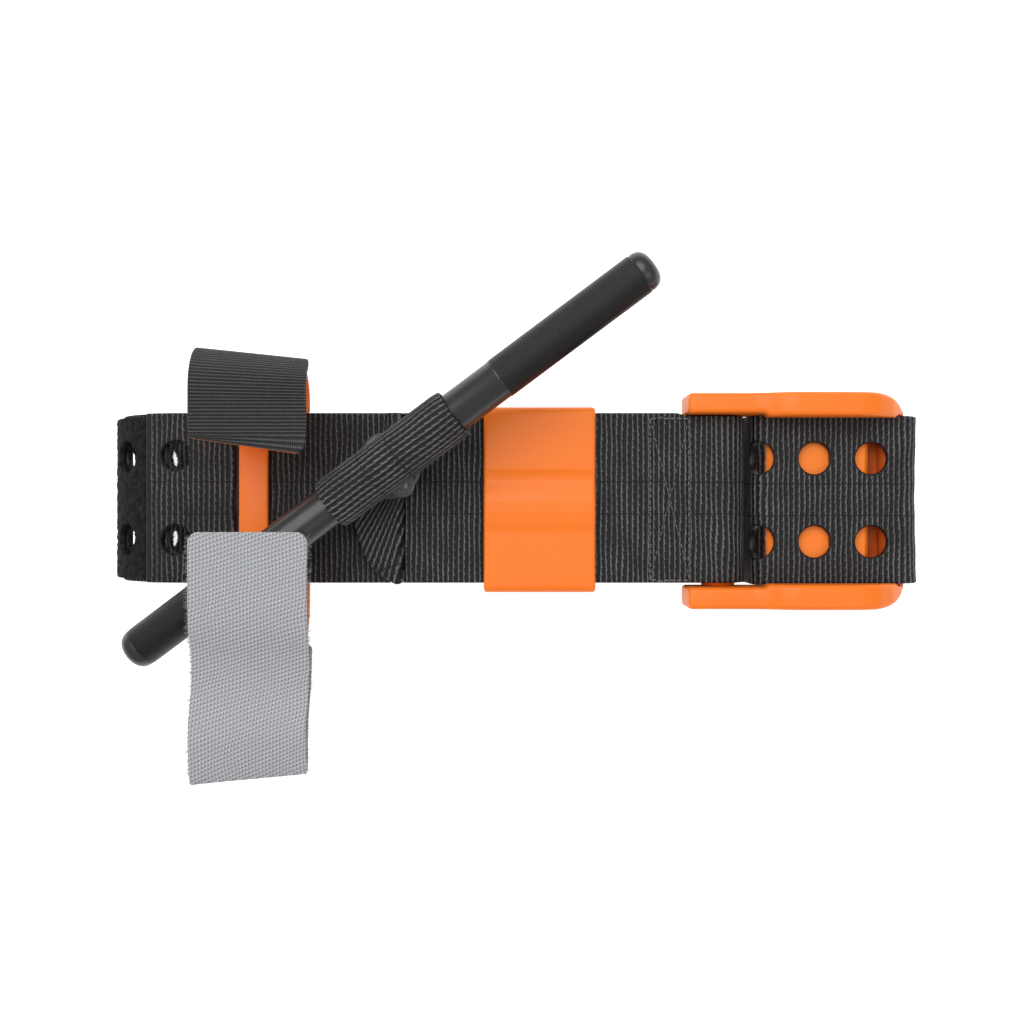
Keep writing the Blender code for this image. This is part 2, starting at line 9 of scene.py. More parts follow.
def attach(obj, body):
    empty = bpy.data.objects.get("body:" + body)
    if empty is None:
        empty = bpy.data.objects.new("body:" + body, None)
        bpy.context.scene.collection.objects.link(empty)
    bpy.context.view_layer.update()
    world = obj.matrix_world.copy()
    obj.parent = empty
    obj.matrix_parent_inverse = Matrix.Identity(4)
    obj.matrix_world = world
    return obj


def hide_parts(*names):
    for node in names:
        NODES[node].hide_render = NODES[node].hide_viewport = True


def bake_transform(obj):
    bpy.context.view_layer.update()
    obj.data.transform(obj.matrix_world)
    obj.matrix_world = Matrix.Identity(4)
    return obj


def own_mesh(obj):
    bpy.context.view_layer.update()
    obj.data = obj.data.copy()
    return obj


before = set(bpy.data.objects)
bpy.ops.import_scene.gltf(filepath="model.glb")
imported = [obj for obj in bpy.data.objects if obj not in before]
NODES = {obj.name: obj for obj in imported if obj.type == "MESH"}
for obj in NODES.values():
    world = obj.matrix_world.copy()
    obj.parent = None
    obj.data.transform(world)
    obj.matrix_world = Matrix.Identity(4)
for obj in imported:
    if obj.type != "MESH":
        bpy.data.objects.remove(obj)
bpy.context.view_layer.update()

MM = 0.001

# ---------------------------------------------------------------- the model's own dimensions
WEB_W, WEB_T = 38.1, 1.7
TURN_R, TURN_X = 16.0, -74.6
TURN_Z = TURN_R + WEB_T / 2
STRAP_R = TURN_R + WEB_T + 0.3
STRAP_Z = TURN_Z + STRAP_R
H = STRAP_Z + WEB_T / 2
UNDER_Z = STRAP_Z - WEB_T - 0.3
HOLE_R, HOLE_ROW, HOLE_PITCH = 3.6, 9.45, 12.7
BELT_Y, BELT_W = -0.4, 37.8
TOP_Z = H - 2.05
BAR_X, BAR_Z, BAR_TURN_R = 86.9, 29.5, 4.15
LOW_X = BAR_X + BAR_TURN_R - TURN_R
DIP_X, DIP_R = 58.5, 3.5
ROW_Y = (BELT_Y - 0.1 - HOLE_ROW, BELT_Y - 0.1 + HOLE_ROW)
ROD_A, ROD_B = np.array((-84.2, -34.7, H + 5.6)), np.array((29.7, 48.8, H + 21.4))
ROD_MID = (ROD_A + ROD_B) / 2
ROD_L = float(np.linalg.norm(ROD_B - ROD_A))
ROD_AX = (ROD_B - ROD_A) / ROD_L
ROD_R = 4.55
CLIP_X0, CLIP_X1 = -68.6, -44.0
CLIP_MID = (CLIP_X0 + CLIP_X1) / 2
ARM_T, ARM_TOP, ARM_LOW = 1.6, H + 17.9, H - 3.7
LIP_UP, LIP_DOWN = 10.6, 8.0
SLANT, LEAN = 0.155, 0.10
STRAP2 = (-68.4, -43.2)
KEEP = (-6.3, 18.6, 20.7, 30.0, 37.7)
PIN = (46.8, H - 5.2)
PIN_R = 3.8
RAIL_IN, RAIL_OUT = (-19.85, 18.85), (-24.7, 23.2)


# ---------------------------------------------------------------- mesh helpers
def make(name, verts, quads=None, tris=None, mat=None, attrs=None):
    q = np.zeros((0, 4), np.int32) if quads is None else np.asarray(quads, np.int32).reshape(-1, 4)
    t = np.zeros((0, 3), np.int32) if tris is None else np.asarray(tris, np.int32).reshape(-1, 3)
    mesh = bpy.data.meshes.new(name)
    mesh.vertices.add(len(verts))
    mesh.vertices.foreach_set("co", (np.asarray(verts) * MM).astype(np.float32).ravel())
    loops = np.concatenate([q.ravel(), t.ravel()])
    mesh.loops.add(len(loops))
    mesh.loops.foreach_set("vertex_index", loops)
    starts = np.concatenate([np.arange(len(q)) * 4, 4 * len(q) + np.arange(len(t)) * 3]).astype(np.int32)
    mesh.polygons.add(len(q) + len(t))
    mesh.polygons.foreach_set("loop_start", starts)
    for key, value in (attrs or {}).items():
        kind = "FLOAT_VECTOR" if value.ndim == 2 else "FLOAT"
        a = mesh.attributes.new(key, kind, "POINT")
        a.data.foreach_set("vector" if value.ndim == 2 else "value", value.astype(np.float32).ravel())
    mesh.update(calc_edges=True)
    mesh.shade_smooth()
    if mat is not None:
        mesh.materials.append(mat)
    o = bpy.data.objects.new(name, mesh)
    bpy.context.scene.collection.objects.link(o)
    return o


def arc(cx, cz, r, a0, a1, n):
    return [(cx + r * math.cos(math.radians(a0 + (a1 - a0) * i / n)), cz + r * math.sin(math.radians(a0 + (a1 - a0) * i / n))) for i in range(n + 1)]


class Path:
    """A smooth line in a plane, read by arc length."""

    def __init__(self, points, soft=0.8):
        p = np.array(points, float)
        keep = np.concatenate([[True], np.linalg.norm(np.diff(p, axis=0), axis=1) > 1e-3])
        p = p[keep]
        s = np.concatenate([[0], np.cumsum(np.linalg.norm(np.diff(p, axis=0), axis=1))])
        fine = np.linspace(0, s[-1], max(16, int(s[-1] / 0.05)))
        q = np.stack([np.interp(fine, s, p[:, k]) for k in range(p.shape[1])], 1)
        k = int(soft / 0.05)
        if k > 1 and len(q) > 2 * k + 2:
            w = np.hanning(2 * k + 1)
            w /= w.sum()
            pad = np.concatenate([2 * q[0] - q[k:0:-1], q, 2 * q[-1] - q[-2:-k - 2:-1]])
            q = np.stack([np.convolve(pad[:, j], w, "valid") for j in range(q.shape[1])], 1)
        self.s = np.concatenate([[0], np.cumsum(np.linalg.norm(np.diff(q, axis=0), axis=1))])
        self.q = q
        self.length = float(self.s[-1])

    def __call__(self, s):
        out = [np.interp(s, self.s, self.q[:, k]) for k in range(self.q.shape[1])]
        low, high = s < 0, s > self.length  # straight on past either end
        for k in range(self.q.shape[1]):
            a = (self.q[4, k] - self.q[0, k]) / (self.s[4] - self.s[0])
            b = (self.q[-1, k] - self.q[-5, k]) / (self.s[-1] - self.s[-5])
            out[k] = np.where(low, self.q[0, k] + a * s, np.where(high, self.q[-1, k] + b * (s - self.length), out[k]))
        return out

    def at(self, point):
        """The arc length nearest to a point."""
        return float(self.s[np.argmin(((self.q - np.array(point)) ** 2).sum(1))])


def swept(path, plane="XZ"):
    def surface(s, v):
        a, b = path(s)
        return np.stack([a, v, b] if plane == "XZ" else [v, a, b], -1)
    return surface


EDGE = (0.0, 0.05, 0.14, 0.28, 0.45)


def lines(low, high, step, edges=(True, True), extra=()):
    """Grid lines from low to high, closer together at a rounded edge."""
    a = [low + e for e in EDGE] if edges[0] else [low]
    b = [high - e for e in reversed(EDGE)] if edges[1] else [high]
    n = max(1, round((b[0] - a[-1]) / step))
    mid = np.linspace(a[-1], b[0], n + 1)[1:-1]
    out = np.array(sorted(set(a + list(mid) + b + list(extra))))
    return out


def wander(s, v, seed, size, span):
    """A smooth, repeatable unevenness."""
    r = np.random.default_rng(seed)
    out = np.zeros_like(s)
    for k in range(5):
        a, b, c = r.uniform(0.5, 1.6) / span, r.uniform(-1.2, 1.2) / span, r.uniform(0, 6.3)
        out += np.sin(2 * np.pi * (a * s + b * v) + c) / 2.2
    return size * out / 2


def rounded(d, r, low):
    x = np.clip(d / r, 0, 1)
    return low + (1 - low) * np.sqrt(np.clip(1 - (1 - x) ** 2, 0, 1))


RIB, KNOT = 1.18, 1.8


def web_height(u, k, v):
    """The woven relief, 0 to 1: a raised strand for each rib, made of beads that lean to one side, staggered from rib to rib."""
    cell = np.floor(u)
    f = u - cell
    ph = k + np.mod(cell * 0.5, 1.0) + 0.07 * np.sin(cell * 12.99) + np.where(v > 3.6, 0.3, 0) + np.where(v < -3.6, 0.2, 0)
    p = ph - np.floor(ph)
    knot = np.clip(np.cos(2 * np.pi * ph), 0, 1) ** 6
    d = (f - 0.47 + 0.14 * p - 0.05 * knot) / (0.29 + 0.12 * knot)
    end = np.clip(np.minimum(p / 0.12, (1 - p) / 0.14), 0, 1)
    return np.clip(1 - d * d, 0, 1) * (0.5 + 0.5 * end) * (0.8 + 0.25 * knot)


def sheet(name, surface, s, v, thick, mat, holes=(), relief=None, depth=0.0, seal=(0.0, 0.0), hole_seal=0.3, side_low=0.45, end_low=0.45, round_r=0.45,
          seed=1, flip=False, s0=0.0, weave="web", cut=None, swell=None, after=None, loose=1.0, coords=None):
    """Cloth of a real thickness on a mid-surface, with its woven relief on both faces, rounded edges and punched holes."""
    S, V = np.meshgrid(s, v, indexing="ij")
    nu, nv = S.shape
    keep = np.ones((nu - 1, nv - 1), bool)
    hole_d = np.full(S.shape, 99.0)
    for hs, hv, hr, *stretch in holes:
        along = stretch[0] if stretch else 1.0
        d = np.hypot((S - hs) / along, V - hv)
        inside = d < hr
        keep &= ~(inside[:-1, :-1] & inside[1:, :-1] & inside[:-1, 1:] & inside[1:, 1:])
        scale = np.where(inside & (d > 1e-6), hr / np.maximum(d, 1e-6), 1.0)
        S, V = hs + (S - hs) * scale, hv + (V - hv) * scale
        hole_d = np.minimum(hole_d, np.maximum(np.hypot((S - hs) / along, V - hv) - hr, 0))
    if cut is not None:  # a rounded corner or slanted end: moves the grid itself
        S, V = cut(S, V)
    s_lo, s_hi, v_lo, v_hi = s[0], s[-1], v[0], v[-1]
    S0, V0 = np.meshgrid(s, v, indexing="ij")
    d_end = np.minimum(S0 - s_lo, s_hi - S0)
    d_side = np.minimum(V0 - v_lo, v_hi - V0)
    prof = rounded(d_end, round_r, end_low) * rounded(d_side, round_r, side_low) * rounded(hole_d, 0.3, 0.72)
    sealed = np.zeros_like(S)
    if seal[0]:
        sealed = np.maximum(sealed, np.clip(1.4 - (S0 - s_lo) / seal[0], 0, 1))
    if seal[1]:
        sealed = np.maximum(sealed, np.clip(1.4 - (s_hi - S0) / seal[1], 0, 1))
    if hole_seal:
        sealed = np.maximum(sealed, np.clip(1.3 - hole_d / hole_seal, 0, 1))
    e = 0.04
    base = surface(S, V)
    ds, dv = surface(S + e, V) - surface(S - e, V), surface(S, V + e) - surface(S, V - e)
    n = np.cross(ds, dv)
    n /= np.maximum(np.linalg.norm(n, axis=-1, keepdims=True), 1e-9)
    if flip:
        n = -n
    us, vs = (S + s0, V) if coords is None else coords(base)
    us, vs = us + loose * wander(S, V, seed, 0.2, 9.0), vs + loose * wander(S, V, seed + 50, 0.5, 11.0)
    if weave == "web":
        us, ks = us / RIB, vs / KNOT
        h = web_height(us, ks, V) if relief is None else relief(us, ks, V)
        shade = np.stack([us, ks, V], -1)
    else:
        h = np.zeros_like(us) if relief is None else relief(us, vs, V)
        shade = np.stack([us, vs, V], -1)
    half = thick / 2 * prof * (1 if swell is None else swell(S, V))
    up = half + depth * (h - 0.6) * (1 - sealed) * rounded(d_side, round_r, 0.3)
    top, low = base + n * up[..., None], base - n * up[..., None]
    N = nu * nv
    index = np.arange(N).reshape(nu, nv)
    a, b, c, d = index[:-1, :-1], index[1:, :-1], index[1:, 1:], index[:-1, 1:]
    faces = [np.stack([a, b, c, d], -1)[keep], np.stack([d, c, b, a], -1)[keep] + N]
    K = np.zeros((nu + 1, nv + 1), bool)
    K[1:-1, 1:-1] = keep
    for near, p, q in ((K[1:-1, :-2], a, b), (K[1:-1, 2:], c, d), (K[2:, 1:-1], b, c), (K[:-2, 1:-1], d, a)):
        rim = keep & ~near
        faces.append(np.stack([q[rim], p[rim], p[rim] + N, q[rim] + N], -1))
    quads = np.concatenate([f.reshape(-1, 4) for f in faces])
    if flip:
        quads = quads[:, ::-1]
    co = np.concatenate([top.reshape(-1, 3), low.reshape(-1, 3)])
    used, quads = np.unique(quads, return_inverse=True)
    quads = quads.reshape(-1, 4)
    both = lambda x: np.concatenate([x.reshape(N, *x.shape[2:])] * 2)[used]
    co = co[used]
    if after is not None:
        co = after(co)
    return make(name, co, quads, mat=mat, attrs={"weave": both(shade), "sealed": both(sealed)})


def tubes(curves, radii, sides=3):
    """Thin closed tubes along many curves of the same number of points, as (verts, quads, tris)."""
    c = np.asarray(curves, float)
    n, k, _ = c.shape
    t = np.gradient(c, axis=1)
    t /= np.maximum(np.linalg.norm(t, axis=-1, keepdims=True), 1e-9)
    ref = np.where(np.abs(t[..., 2:3]) < 0.8, np.array((0, 0, 1.0)), np.array((1.0, 0, 0)))
    a = np.cross(t, ref)
    a /= np.maximum(np.linalg.norm(a, axis=-1, keepdims=True), 1e-9)
    b = np.cross(t, a)
    ang = 2 * np.pi * np.arange(sides) / sides
    r = np.broadcast_to(np.asarray(radii, float), (n, k))[..., None, None]
    verts = c[:, :, None, :] + r * (np.cos(ang)[None, None, :, None] * a[:, :, None, :] + np.sin(ang)[None, None, :, None] * b[:, :, None, :])
    idx = np.arange(n * k * sides).reshape(n, k, sides)
    nxt = np.roll(idx, -1, axis=2)
    quads = np.stack([idx[:, :-1], idx[:, 1:], nxt[:, 1:], nxt[:, :-1]], -1).reshape(-1, 4)
    ends = [idx[:, 0], idx[:, -1][:, ::-1]]
    if sides == 3:
        return verts.reshape(-1, 3), quads, np.concatenate(ends)
    if sides == 4:
        return verts.reshape(-1, 3), np.concatenate([quads, *ends]), np.zeros((0, 3), int)
    tris = np.concatenate([np.stack([e[:, 0], e[:, i], e[:, i + 1]], -1) for e in ends for i in range(1, sides - 1)])
    return verts.reshape(-1, 3), quads, tris


def join_arrays(parts):
    vs, qs, ts, off = [], [], [], 0
    for v, q, t in parts:
        vs.append(v)
        qs.append(np.asarray(q).reshape(-1, 4) + off)
        ts.append(np.asarray(t).reshape(-1, 3) + off)
        off += len(v)
    return np.concatenate(vs), np.concatenate(qs), np.concatenate(ts)


def lathe_arrays(profile, at, axis, sides):
    """A turned body, profile as (radius, height) from the axis at its top to the axis at its bottom."""
    pr = np.array(profile, float)
    axis = np.array(axis, float) / np.linalg.norm(axis)
    ref = np.array((0, 0, 1.0)) if abs(axis[2]) < 0.9 else np.array((1.0, 0, 0))
    a = np.cross(ref, axis)
    a /= np.linalg.norm(a)
    b = np.cross(axis, a)
    ang = 2 * np.pi * np.arange(sides) / sides
    ring = pr[1:-1]
    v = np.array(at) + ring[:, None, 1, None] * axis + ring[:, None, 0, None] * (np.cos(ang)[None, :, None] * a + np.sin(ang)[None, :, None] * b)
    m = len(ring)
    idx = np.arange(m * sides).reshape(m, sides)
    nxt = np.roll(idx, -1, axis=1)
    quads = np.stack([idx[:-1], idx[1:], nxt[1:], nxt[:-1]], -1).reshape(-1, 4)
    verts = np.concatenate([v.reshape(-1, 3), [np.array(at) + pr[0, 1] * axis, np.array(at) + pr[-1, 1] * axis]])
    top, low = m * sides, m * sides + 1
    tris = np.concatenate([np.stack([np.full(sides, top), idx[0], nxt[0]], -1), np.stack([np.full(sides, low), nxt[-1], idx[-1]], -1)])
    return verts, quads, tris


def box_arrays(low, high, r, n=3):
    """A box with rounded edges: a sphere-like cube whose corners are pushed out to the sides."""
    low, high = np.array(low, float), np.array(high, float)
    bm = bmesh.new()
    bmesh.ops.create_cube(bm, size=1.0)
    for vert in bm.verts:
        vert.co = Vector([(h if c > 0 else l) for c, l, h in zip(vert.co, low, high)])
    bmesh.ops.bevel(bm, geom=bm.edges[:], offset=r, segments=n, profile=0.5, affect="EDGES", clamp_overlap=True)
    bm.verts.ensure_lookup_table()
    v = np.array([x.co[:] for x in bm.verts])
    quads = [[x.index for x in f.verts] for f in bm.faces if len(f.verts) == 4]
    tris = [[f.verts[0].index, f.verts[i].index, f.verts[i + 1].index] for f in bm.faces if len(f.verts) != 4 for i in range(1, len(f.verts) - 1)]
    bm.free()
    return v, np.array(quads, int).reshape(-1, 4), np.array(tris, int).reshape(-1, 3)


def loft_arrays(rings):
    """Closed rings joined in order, with a fan over each end."""
    r = np.array(rings, float)
    m, k, _ = r.shape
    idx = np.arange(m * k).reshape(m, k)
    nxt = np.roll(idx, -1, axis=1)
    quads = np.stack([idx[:-1], nxt[:-1], nxt[1:], idx[1:]], -1).reshape(-1, 4)
    verts = np.concatenate([r.reshape(-1, 3), [r[0].mean(0), r[-1].mean(0)]])
    tris = np.concatenate([np.stack([np.full(k, m * k), nxt[0], idx[0]], -1), np.stack([np.full(k, m * k + 1), idx[-1], nxt[-1]], -1)])
    return verts, quads, tris


# ---------------------------------------------------------------- materials
class Tree:
    """A material and short names for its nodes."""

    def __init__(self, name, colour, rough, metal=0.0, spec=0.5):
        self.m = bpy.data.materials.new(name)
        self.m.use_nodes = True
        self.t = self.m.node_tree
        self.b = self.t.nodes["Principled BSDF"]
        self.b.inputs["Base Color"].default_value = (*colour, 1)
        self.b.inputs["Roughness"].default_value = rough
        self.b.inputs["Metallic"].default_value = metal
        self.b.inputs["Specular IOR Level"].default_value = spec
        self.m.diffuse_color = (*colour, 1)

    def node(self, kind, **values):
        n = self.t.nodes.new(kind)
        for key, value in values.items():
            setattr(n, key, value)
        return n

    def put(self, value, socket):
        if isinstance(value, bpy.types.NodeSocket):
            self.t.links.new(value, socket)
        else:
            socket.default_value = value

    def f(self, op, *args, clamp=False):
        n = self.node("ShaderNodeMath", operation=op, use_clamp=clamp)
        for a, s in zip(args, n.inputs):
            self.put(a, s)
        return n.outputs[0]

    def attribute(self, name):
        return self.node("ShaderNodeAttribute", attribute_name=name)

    def split(self, vector):
        n = self.node("ShaderNodeSeparateXYZ")
        self.put(vector, n.inputs[0])
        return n.outputs

    def object_coords(self):
        return self.node("ShaderNodeTexCoord").outputs["Object"]

    def noise(self, vector, scale, detail=2.0, rough=0.5):
        n = self.node("ShaderNodeTexNoise")
        self.put(vector, n.inputs["Vector"])
        n.inputs["Scale"].default_value = scale
        n.inputs["Detail"].default_value = detail
        n.inputs["Roughness"].default_value = rough
        return n.outputs["Fac"]

    def ramp(self, value, stops):
        n = self.node("ShaderNodeValToRGB")
        self.put(value, n.inputs[0])
        e = n.color_ramp.elements
        while len(e) < len(stops):
            e.new(0.5)
        for el, (p, c) in zip(e, stops):
            el.position = p
            el.color = (*c, 1)
        return n.outputs[0]

    def mix(self, fac, a, b, blend="MIX"):
        n = self.node("ShaderNodeMix", data_type="RGBA", blend_type=blend)
        self.put(fac, n.inputs[0])
        self.put(a, n.inputs[6])
        self.put(b, n.inputs[7])
        return n.outputs[2]

    def bump(self, height, distance, strength=1.0, under=None):
        n = self.node("ShaderNodeBump")
        self.put(height, n.inputs["Height"])
        n.inputs["Distance"].default_value = distance
        n.inputs["Strength"].default_value = strength
        if under is not None:
            self.put(under, n.inputs["Normal"])
        return n.outputs[0]

    def set(self, name, value):
        self.put(value, self.b.inputs[name])


def grey(x, warm=0.0):
    return (x * (1 + warm), x, x * (1 - warm * 0.5) + x * 0.015)


def webbing(name, gain=1.0):
    """Black woven webbing: strands that bulge to one side at their knots, with gaps between them. Its colour follows
    the relief: painted highlight on the raised strands and painted shade in the gaps.
    """
    m = Tree(name, grey(0.03), 0.62, spec=0.35)
    u, k, v = m.split(m.attribute("weave").outputs["Vector"])
    sealed = m.attribute("sealed").outputs["Fac"]
    cell = m.f("FLOOR", u)
    f = m.f("SUBTRACT", u, cell)
    shift = m.f("ADD", m.f("MULTIPLY", m.f("GREATER_THAN", v, 3.6), 0.3), m.f("MULTIPLY", m.f("LESS_THAN", v, -3.6), 0.2))
    jitter = m.f("MULTIPLY", m.f("SINE", m.f("MULTIPLY", cell, 12.99)), 0.07)
    ph = m.f("ADD", m.f("ADD", k, m.f("FRACT", m.f("MULTIPLY", cell, 0.5))), m.f("ADD", shift, jitter))
    p = m.f("FRACT", ph)
    knot = m.f("POWER", m.f("MAXIMUM", m.f("COSINE", m.f("MULTIPLY", ph, 2 * math.pi)), 0.0), 6.0)
    centre = m.f("MULTIPLY_ADD", knot, 0.05, m.f("MULTIPLY_ADD", p, -0.14, 0.47))
    d = m.f("DIVIDE", m.f("SUBTRACT", f, centre), m.f("MULTIPLY_ADD", knot, 0.13, 0.245))
    body = m.f("SUBTRACT", 1.0, m.f("MULTIPLY", d, d), clamp=True)
    end = m.f("MINIMUM", m.f("MINIMUM", m.f("MULTIPLY", p, 16.0), m.f("MULTIPLY", m.f("SUBTRACT", 1.0, p), 8.0)), 1.0)
    strand = m.f("MULTIPLY", body, m.f("MULTIPLY", m.f("MULTIPLY_ADD", end, 0.7, 0.3), m.f("MULTIPLY_ADD", knot, 0.42, m.f("MULTIPLY_ADD", p, -0.30, 1.12))))
    # fine yarns cross the gap beside each knot
    bridge = m.f("MULTIPLY", m.f("MULTIPLY", knot, end), m.f("SUBTRACT", 1.0, body))
    side = m.f("DIVIDE", m.f("SUBTRACT", f, 0.44), 0.44)
    rib = m.f("SUBTRACT", 1.0, m.f("MULTIPLY", side, side), clamp=True)
    coord = m.object_coords()
    uneven = m.noise(coord, 170.0, 3.0)
    fibre = m.noise(coord, 5200.0, 2.0)
    line = m.f("MULTIPLY", m.f("LESS_THAN", m.f("ABSOLUTE", m.f("SUBTRACT", m.f("ABSOLUTE", v), 3.6)), 0.13), 0.5)
    height = m.f("ADD", m.f("MULTIPLY", strand, 0.75), m.f("ADD", m.f("MULTIPLY", bridge, 0.30), m.f("MULTIPLY", rib, 0.13)))
    # colour from the relief height: painted highlight on the strands, painted shade in the gaps, with an uneven random
    # tone over it
    painted_shade_and_tone = m.f("MULTIPLY", height, m.f("MULTIPLY_ADD", uneven, 0.9, 0.55))
    painted_shade_and_tone = m.f("ADD", painted_shade_and_tone, m.f("MULTIPLY", m.f("SUBTRACT", fibre, 0.5), 0.22))
    painted_shade_and_tone = m.f("SUBTRACT", painted_shade_and_tone, line)
    painted_shade_and_tone = m.f("MULTIPLY", painted_shade_and_tone, m.f("MULTIPLY_ADD", sealed, -0.75, 1.0), clamp=True)
    m.set("Base Color", m.ramp(painted_shade_and_tone, ((0.0, grey(0.003 * gain)), (0.3, grey(0.013 * gain)), (0.65, grey(0.068 * gain)), (1.0, grey(0.19 * gain)))))
    m.set("Roughness", m.f("MULTIPLY_ADD", sealed, -0.22, 0.66))
    h = m.f("MULTIPLY", m.f("MULTIPLY_ADD", fibre, 0.12, height), m.f("SUBTRACT", 1.0, sealed))
    m.set("Normal", m.bump(h, 0.00022, 0.75))
    return m.m


def pile_cloth(name):
    m = Tree(name, grey(0.012), 0.9, spec=0.15)
    c = m.object_coords()
    a, b = m.noise(c, 700.0, 3.0), m.noise(c, 2600.0, 2.0)
    m.set("Base Color", m.ramp(m.f("MULTIPLY_ADD", a, 0.6, m.f("MULTIPLY", b, 0.5)), ((0.3, grey(0.003)), (0.55, grey(0.010)), (0.8, grey(0.034)))))
    m.set("Normal", m.bump(m.f("ADD", a, b), 0.0004, 0.8))
    return m.m


def grey_twill(name):
    """Light grey loop strap: close rows of small stitches that climb across the strap. Its colour has a painted
    highlight on each raised stitch and painted shade in the pits between them.
    """
    m = Tree(name, (0.39, 0.40, 0.42), 0.85, spec=0.2)
    u, v, w = m.split(m.attribute("weave").outputs["Vector"])
    ca, sa = math.cos(math.radians(19)), math.sin(math.radians(19))
    along = m.f("ADD", m.f("MULTIPLY", v, ca), m.f("MULTIPLY", u, -sa))
    across = m.f("ADD", m.f("MULTIPLY", v, sa), m.f("MULTIPLY", u, ca))
    row = m.f("DIVIDE", across, 0.87)
    cell = m.f("FLOOR", row)
    fr = m.f("SUBTRACT", row, cell)
    col = m.f("ADD", m.f("DIVIDE", along, 0.78), m.f("MULTIPLY", cell, 0.42))
    fc = m.f("FRACT", col)

    def blob(x0, y0, rx, ry):
        dx, dy = m.f("DIVIDE", m.f("SUBTRACT", fc, x0), rx), m.f("DIVIDE", m.f("SUBTRACT", fr, y0), ry)
        return m.f("SUBTRACT", 1.0, m.f("ADD", m.f("MULTIPLY", dx, dx), m.f("MULTIPLY", dy, dy)), clamp=True)

    dot, pit = blob(0.42, 0.42, 0.40, 0.36), m.f("ADD", blob(0.86, 0.80, 0.26, 0.30), blob(-0.14, 0.80, 0.26, 0.30))
    c = m.object_coords()
    patch, fibre = m.noise(c, 420.0, 3.0), m.noise(c, 4200.0, 2.0)
    # painted highlight on the raised stitches and painted shade in the pits, varied by a random patchy tone
    painted_shade_and_tone = m.f("ADD", m.f("MULTIPLY", dot, 0.36), m.f("MULTIPLY", pit, -0.46))
    painted_shade_and_tone = m.f("MULTIPLY", painted_shade_and_tone, m.f("MULTIPLY_ADD", patch, 1.4, 0.25))
    painted_shade_and_tone = m.f("ADD", m.f("ADD", painted_shade_and_tone, 0.45), m.f("MULTIPLY", m.f("SUBTRACT", fibre, 0.5), 0.3), clamp=True)
    m.set("Base Color", m.ramp(painted_shade_and_tone, ((0.0, (0.175, 0.180, 0.190)), (0.42, (0.350, 0.357, 0.375)), (0.62, (0.430, 0.437, 0.455)), (1.0, (0.66, 0.665, 0.68)))))
    m.set("Normal", m.bump(m.f("ADD", m.f("SUBTRACT", dot, pit), m.f("MULTIPLY", fibre, 0.3)), 0.00012, 0.8))
    return m.m


def corded(name):
    """Black hook tape: rows of fine ribs along the tape, with close teeth along each. Its colour follows the relief:
    painted highlight on the ribs and teeth, painted shade between them.
    """
    m = Tree(name, grey(0.05), 0.55, spec=0.35)
    u, v, w = m.split(m.attribute("weave").outputs["Vector"])
    row = m.f("MULTIPLY_ADD", m.f("COSINE", m.f("MULTIPLY", u, 2 * math.pi / 0.76)), 0.5, 0.5)
    teeth = m.f("MULTIPLY_ADD", m.f("COSINE", m.f("MULTIPLY", v, 2 * math.pi / 0.40)), 0.5, 0.5)
    c = m.object_coords()
    fibre = m.noise(c, 3200.0, 2.0)
    h = m.f("MULTIPLY", m.f("MULTIPLY_ADD", row, 0.75, 0.15), m.f("MULTIPLY_ADD", teeth, 0.7, 0.45))
    # colour from the relief height: painted highlight on the ribs, painted shade between them, plus random fibre tone
    painted_shade_and_tone = m.f("ADD", m.f("MULTIPLY", h, 0.75), m.f("MULTIPLY", m.f("SUBTRACT", fibre, 0.5), 0.3), clamp=True)
    m.set("Base Color", m.ramp(painted_shade_and_tone, ((0.0, grey(0.003)), (0.35, grey(0.016)), (1.0, grey(0.19)))))
    m.set("Normal", m.bump(h, 0.00014, 0.7))
    return m.m


def satin_orange(name, colour=(0.94, 0.196, 0.010), rough=0.40):
    """Moulded orange plastic: a very fine spark-eroded surface, slightly uneven gloss and a little light inside."""
    m = Tree(name, colour, rough, spec=0.36)
    c = m.object_coords()
    cloud, fine = m.noise(c, 45.0, 3.0), m.noise(c, 5200.0, 2.0)
    m.set("Base Color", m.ramp(cloud, ((0.25, (colour[0] * 0.965, colour[1] * 0.94, colour[2] * 0.86)), (0.75, (min(1, colour[0] * 1.02), colour[1] * 1.05, colour[2] * 1.18)))))
    m.set("Roughness", m.f("MULTIPLY_ADD", m.f("ADD", cloud, m.f("MULTIPLY", fine, 0.6)), 0.12, rough - 0.09))
    m.set("Normal", m.bump(fine, 0.00003, 0.35))
    m.b.inputs["Subsurface Weight"].default_value = 0.08
    m.b.inputs["Subsurface Radius"].default_value = (1.0, 0.35, 0.1)
    m.b.inputs["Subsurface Scale"].default_value = 0.0015
    return m.m


